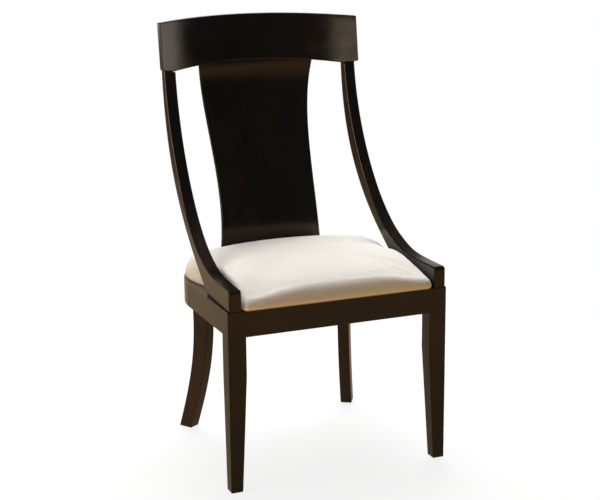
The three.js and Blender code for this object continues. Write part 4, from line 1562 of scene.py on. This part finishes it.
@dataclass
class Studio:
    """The surroundings, the floor, the lamps, what only mirrors show, and the camera, in metres."""

    bench: Bench
    ambient: float = 0.07
    floor_radius: float = 2.4
    floor_steps: int = 96
    floor_fade: Flat = (1.1, 2.3)
    floor_white: Colour = (0.95, 0.95, 0.95)
    floor_bounce: Colour = (0.92, 0.64, 0.34)
    glow_white: Colour = (1.0, 1.0, 1.0)
    glow_shade: Colour = (0.3, 0.22, 0.14)
    glow_bright: Colour = (2.5, 1.42, 0.28)
    glow_reach: Flat = (0.6, 1.4)
    glow_shares: Flat = (0.65, 0.86)
    mat_place: Spot = (-1.5, 4, 0.004)
    mat_half: Flat = (6, 8)
    mat_shade: Colour = (0.42, 0.33, 0.21)
    mat_glow: Colour = (0.6, 0.44, 0.28)
    mat_reach: Flat = (0.8, 1.5)
    mat_dusk: Colour = (0.17, 0.1, 0.065)
    dusk_reach: Flat = (1.9, 4)
    dome_radius: float = 4.2
    dome_height: float = 0.6
    dome_cells: int = 16
    warm: Colour = (1.0, 0.93, 0.83)
    amber: Colour = (1.0, 0.75, 0.58)
    camera_place: Spot = (-1.18909, -2.62659, 1.22747)
    yaw: float = 0.394386
    pitch: float = -0.237669
    roll: float = -0.010035
    focal: float = 1354.68
    width: float = 600
    sensor: float = 36

    def build(self) -> None:
        """Builds the studio."""
        self.surroundings()
        self.floor()
        self.shell("flag", (-19, 61), (-8, 90), (0.05, 0.085, 0.1))
        self.shell("canopy", (61, 341), (16, 55), (0.15, 0.1, 0.07))
        self.shell("roof", (61, 341), (55, 90), (0.04, 0.05, 0.055))
        self.mat()
        matte, mirrored = Rays.MATTE, Rays.MIRRORED
        over, seat = (0.45, 1.2, 2.8), (0, 0, 0.5)
        crest, arm = (0.24, 0.19, 0.95), (0, 0.1, 0.75)
        for lamp in (
            Softbox("top_lamp", over, seat, (1.8, 1.8), 12.8, matte),
            Softbox("sky_lamp", over, seat, (1.8, 1.8), 4.0, mirrored),
            Softbox("left_lamp", (-2.9, -0.45, 1.1), (0, 0, 0.55), (1.2, 1.6), 7.0, matte, self.warm),
            Softbox("right_lamp", (2.6, -0.77, 1.2), (-0.25, 0.1, 0.9), (0.8, 1.4), 1.9, mirrored),
            Softbox("front_lamp", (-1.45, -3.4, 1.3), crest, (0.85, 0.7), 1.7, mirrored),
            Softbox("edge_lamp", (-2.7, -0.75, 1.9), arm, (0.9, 2.2), 14.0, mirrored, self.amber),
        ):
            lamp.build()
        self.camera()
        bpy.context.scene.view_settings.view_transform = "Standard"

    def surroundings(self) -> None:
        """A world that is white where it is seen or mirrored, and an even glow on the chair."""
        board = NodeBoard("surroundings", world=True)
        level = board.span(board.shown(), 0, 1, self.ambient, 1)
        glow = board.add("Background", {"Color": (1, 1, 1, 1), "Strength": level})
        board.add("OutputWorld", {"Surface": glow.outputs[0]})
        bpy.context.scene.world = board.owner

    def floor(self) -> None:
        """A round white floor that fades into the surroundings and keeps the chair's shadow."""
        mesh = bmesh.new()
        radius, steps = self.floor_radius, self.floor_steps
        bmesh.ops.create_circle(mesh, cap_ends=True, segments=steps, radius=radius)
        board = NodeBoard("studio_floor")
        away = board.away()
        shown = board.shown()
        paint = board.blend(shown, self.floor_bounce, self.floor_white)
        matte = board.add("BsdfDiffuse", {"Color": paint}).outputs[0]
        reach = board.span(away, *self.glow_reach, 0, 1)
        bounce = board.blend(reach, self.glow_shade, self.glow_bright)
        tone = board.blend(shown, bounce, self.glow_white)
        glow = board.add("Emission", {"Color": tone, "Strength": 1.0}).outputs[0]
        share = board.span(shown, 0, 1, *self.glow_shares)
        lit = board.add("MixShader", {0: share, 1: matte, 2: glow}).outputs[0]
        gone = board.add("BsdfTransparent").outputs[0]
        fade = board.span(away, *self.floor_fade, 0, 1)
        mixed = board.add("MixShader", {0: fade, 1: lit, 2: gone})
        board.add("OutputMaterial", {"Surface": mixed.outputs[0]})
        floor = placed("floor", mesh, board.owner)

    def shell(self, name: str, bearings: Flat, heights: Flat, glow: Colour) -> None:
        """Part of a dim dome, which the lacquer mirrors and the camera never sees.

        Args:
            name: Its name.
            bearings: Where it starts and ends, in degrees from -Y toward +X.
            heights: Its lowest and highest elevation, in degrees.
            glow: Its radiance.
        """
        mesh = bmesh.new()
        cells = self.dome_cells
        bmesh.ops.create_grid(mesh, x_segments=cells, y_segments=cells, size=1)
        for vert in mesh.verts:
            bearing = math.radians(bearings[0] + (bearings[1] - bearings[0]) * (vert.co.x + 1) / 2)
            height = math.radians(heights[0] + (heights[1] - heights[0]) * (vert.co.y + 1) / 2)
            level = self.dome_radius * math.cos(height)
            up = self.dome_height + self.dome_radius * math.sin(height)
            vert.co = Vector((level * math.sin(bearing), -level * math.cos(bearing), up))
        board = NodeBoard(f"studio_{name}")
        self.mirrored(name, mesh, board, (*glow, 1))

    def mirrored(self, name: str, mesh: Mesh, board: NodeBoard, glow: object) -> None:
        """Makes a glowing piece of the studio that only mirrors show.

        Args:
            name: Its name.
            mesh: Its mesh, which is freed.
            board: The board of its material.
            glow: Its radiance, a colour or a socket.
        """
        shine = board.add("Emission", {"Color": glow, "Strength": 1.0})
        board.add("OutputMaterial", {"Surface": shine.outputs[0]})
        piece = placed(name, mesh, board.owner)
        piece.visible_camera = False
        piece.visible_diffuse = False
        piece.visible_shadow = False

    def mat(self) -> None:
        """A tan mat on the floor, darker far behind, which the camera never sees."""
        mesh = bmesh.new()
        bmesh.ops.create_grid(mesh, x_segments=1, y_segments=1, size=1)
        stand = Matrix.Translation(self.mat_place) @ Matrix.Diagonal((*self.mat_half, 1, 1))
        bmesh.ops.transform(mesh, matrix=stand, verts=mesh.verts)
        board = NodeBoard("studio_mat")
        away = board.away()
        near = board.blend(board.span(away, *self.mat_reach, 0, 1), self.mat_shade, self.mat_glow)
        glow = board.blend(board.span(away, *self.dusk_reach, 0, 1), near, self.mat_dusk)
        self.mirrored("mat", mesh, board, glow)

    def camera(self) -> None:
        """The camera, at the photograph's place and angle."""
        lens = bpy.data.cameras.new("camera")
        lens.sensor_fit = "HORIZONTAL"
        lens.sensor_width = self.sensor
        lens.lens = self.focal / self.width * self.sensor
        holder = bpy.data.objects.new("camera", lens)
        forward = Vector((
            math.sin(self.yaw) * math.cos(self.pitch),
            math.cos(self.yaw) * math.cos(self.pitch),
            math.sin(self.pitch),
        ))
        right = Vector((math.cos(self.yaw), -math.sin(self.yaw), 0))
        up = right.cross(forward)
        turned = right * math.cos(self.roll) + up * math.sin(self.roll)
        top = up * math.cos(self.roll) - right * math.sin(self.roll)
        axes = Matrix((turned, top, -forward)).transposed().to_4x4()
        stand = Vector(self.camera_place) + Vector((0, self.bench.front, 0))
        holder.matrix_world = Matrix.Translation(stand) @ axes
        bpy.context.scene.collection.objects.link(holder)
        bpy.context.scene.camera = holder


def finishes() -> dict[str, Finish]:
    """Every material of the chair, by name.

    Returns:
        The materials.
    """
    wood = LacqueredWood()
    made = {f"wood_{grain.name.lower()}": wood.material(grain) for grain in Grain}
    # The rear legs' wood is lighter and browner than the rest: partly their redder stain, partly
    # painted warm bounce light from the floor under the chair.
    sabre = LacqueredWood(
        name="rear_leg_stain_and_painted_bounce",
        dark=(0.0165, 0.0105, 0.0072),
        brown=(0.032, 0.0165, 0.0092),
        worn=(0.046, 0.0225, 0.012),
    )
    foam = PlainCloth("seat_foam", (0.82, 0.76, 0.46), (0.7, 0.62, 0.34), scale=500)
    dust = PlainCloth("dust_cloth", (0.014, 0.014, 0.016), (0.028, 0.028, 0.031), scale=900)
    made["wood_sabre_stain_and_painted_bounce"] = sabre.material(Grain.UPRIGHT)
    made["bare_wood"] = BareWood().material()
    made["plywood"] = Plywood().material()
    made["cover_cloth"] = CoverCloth().material()
    made["seat_foam"] = foam.material()
    made["dust_cloth"] = dust.material()
    made["screw_steel"] = ZincSteel().material()
    made["glide_nylon"] = Nylon().material()
    return made


def main() -> None:
    """Builds the chair's looks in order."""
    logging.basicConfig(level=logging.INFO, format="%(name)s: %(message)s")
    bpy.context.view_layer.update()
    low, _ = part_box("front_rail")
    bench = Bench(front=low.y, finishes=finishes())
    Hardware(bench).build()
    SeatFrame(bench).build()
    Back(bench).build()
    SlipSeat(bench).build()
    Studio(bench).build()


if __name__ == "__main__":
    main()
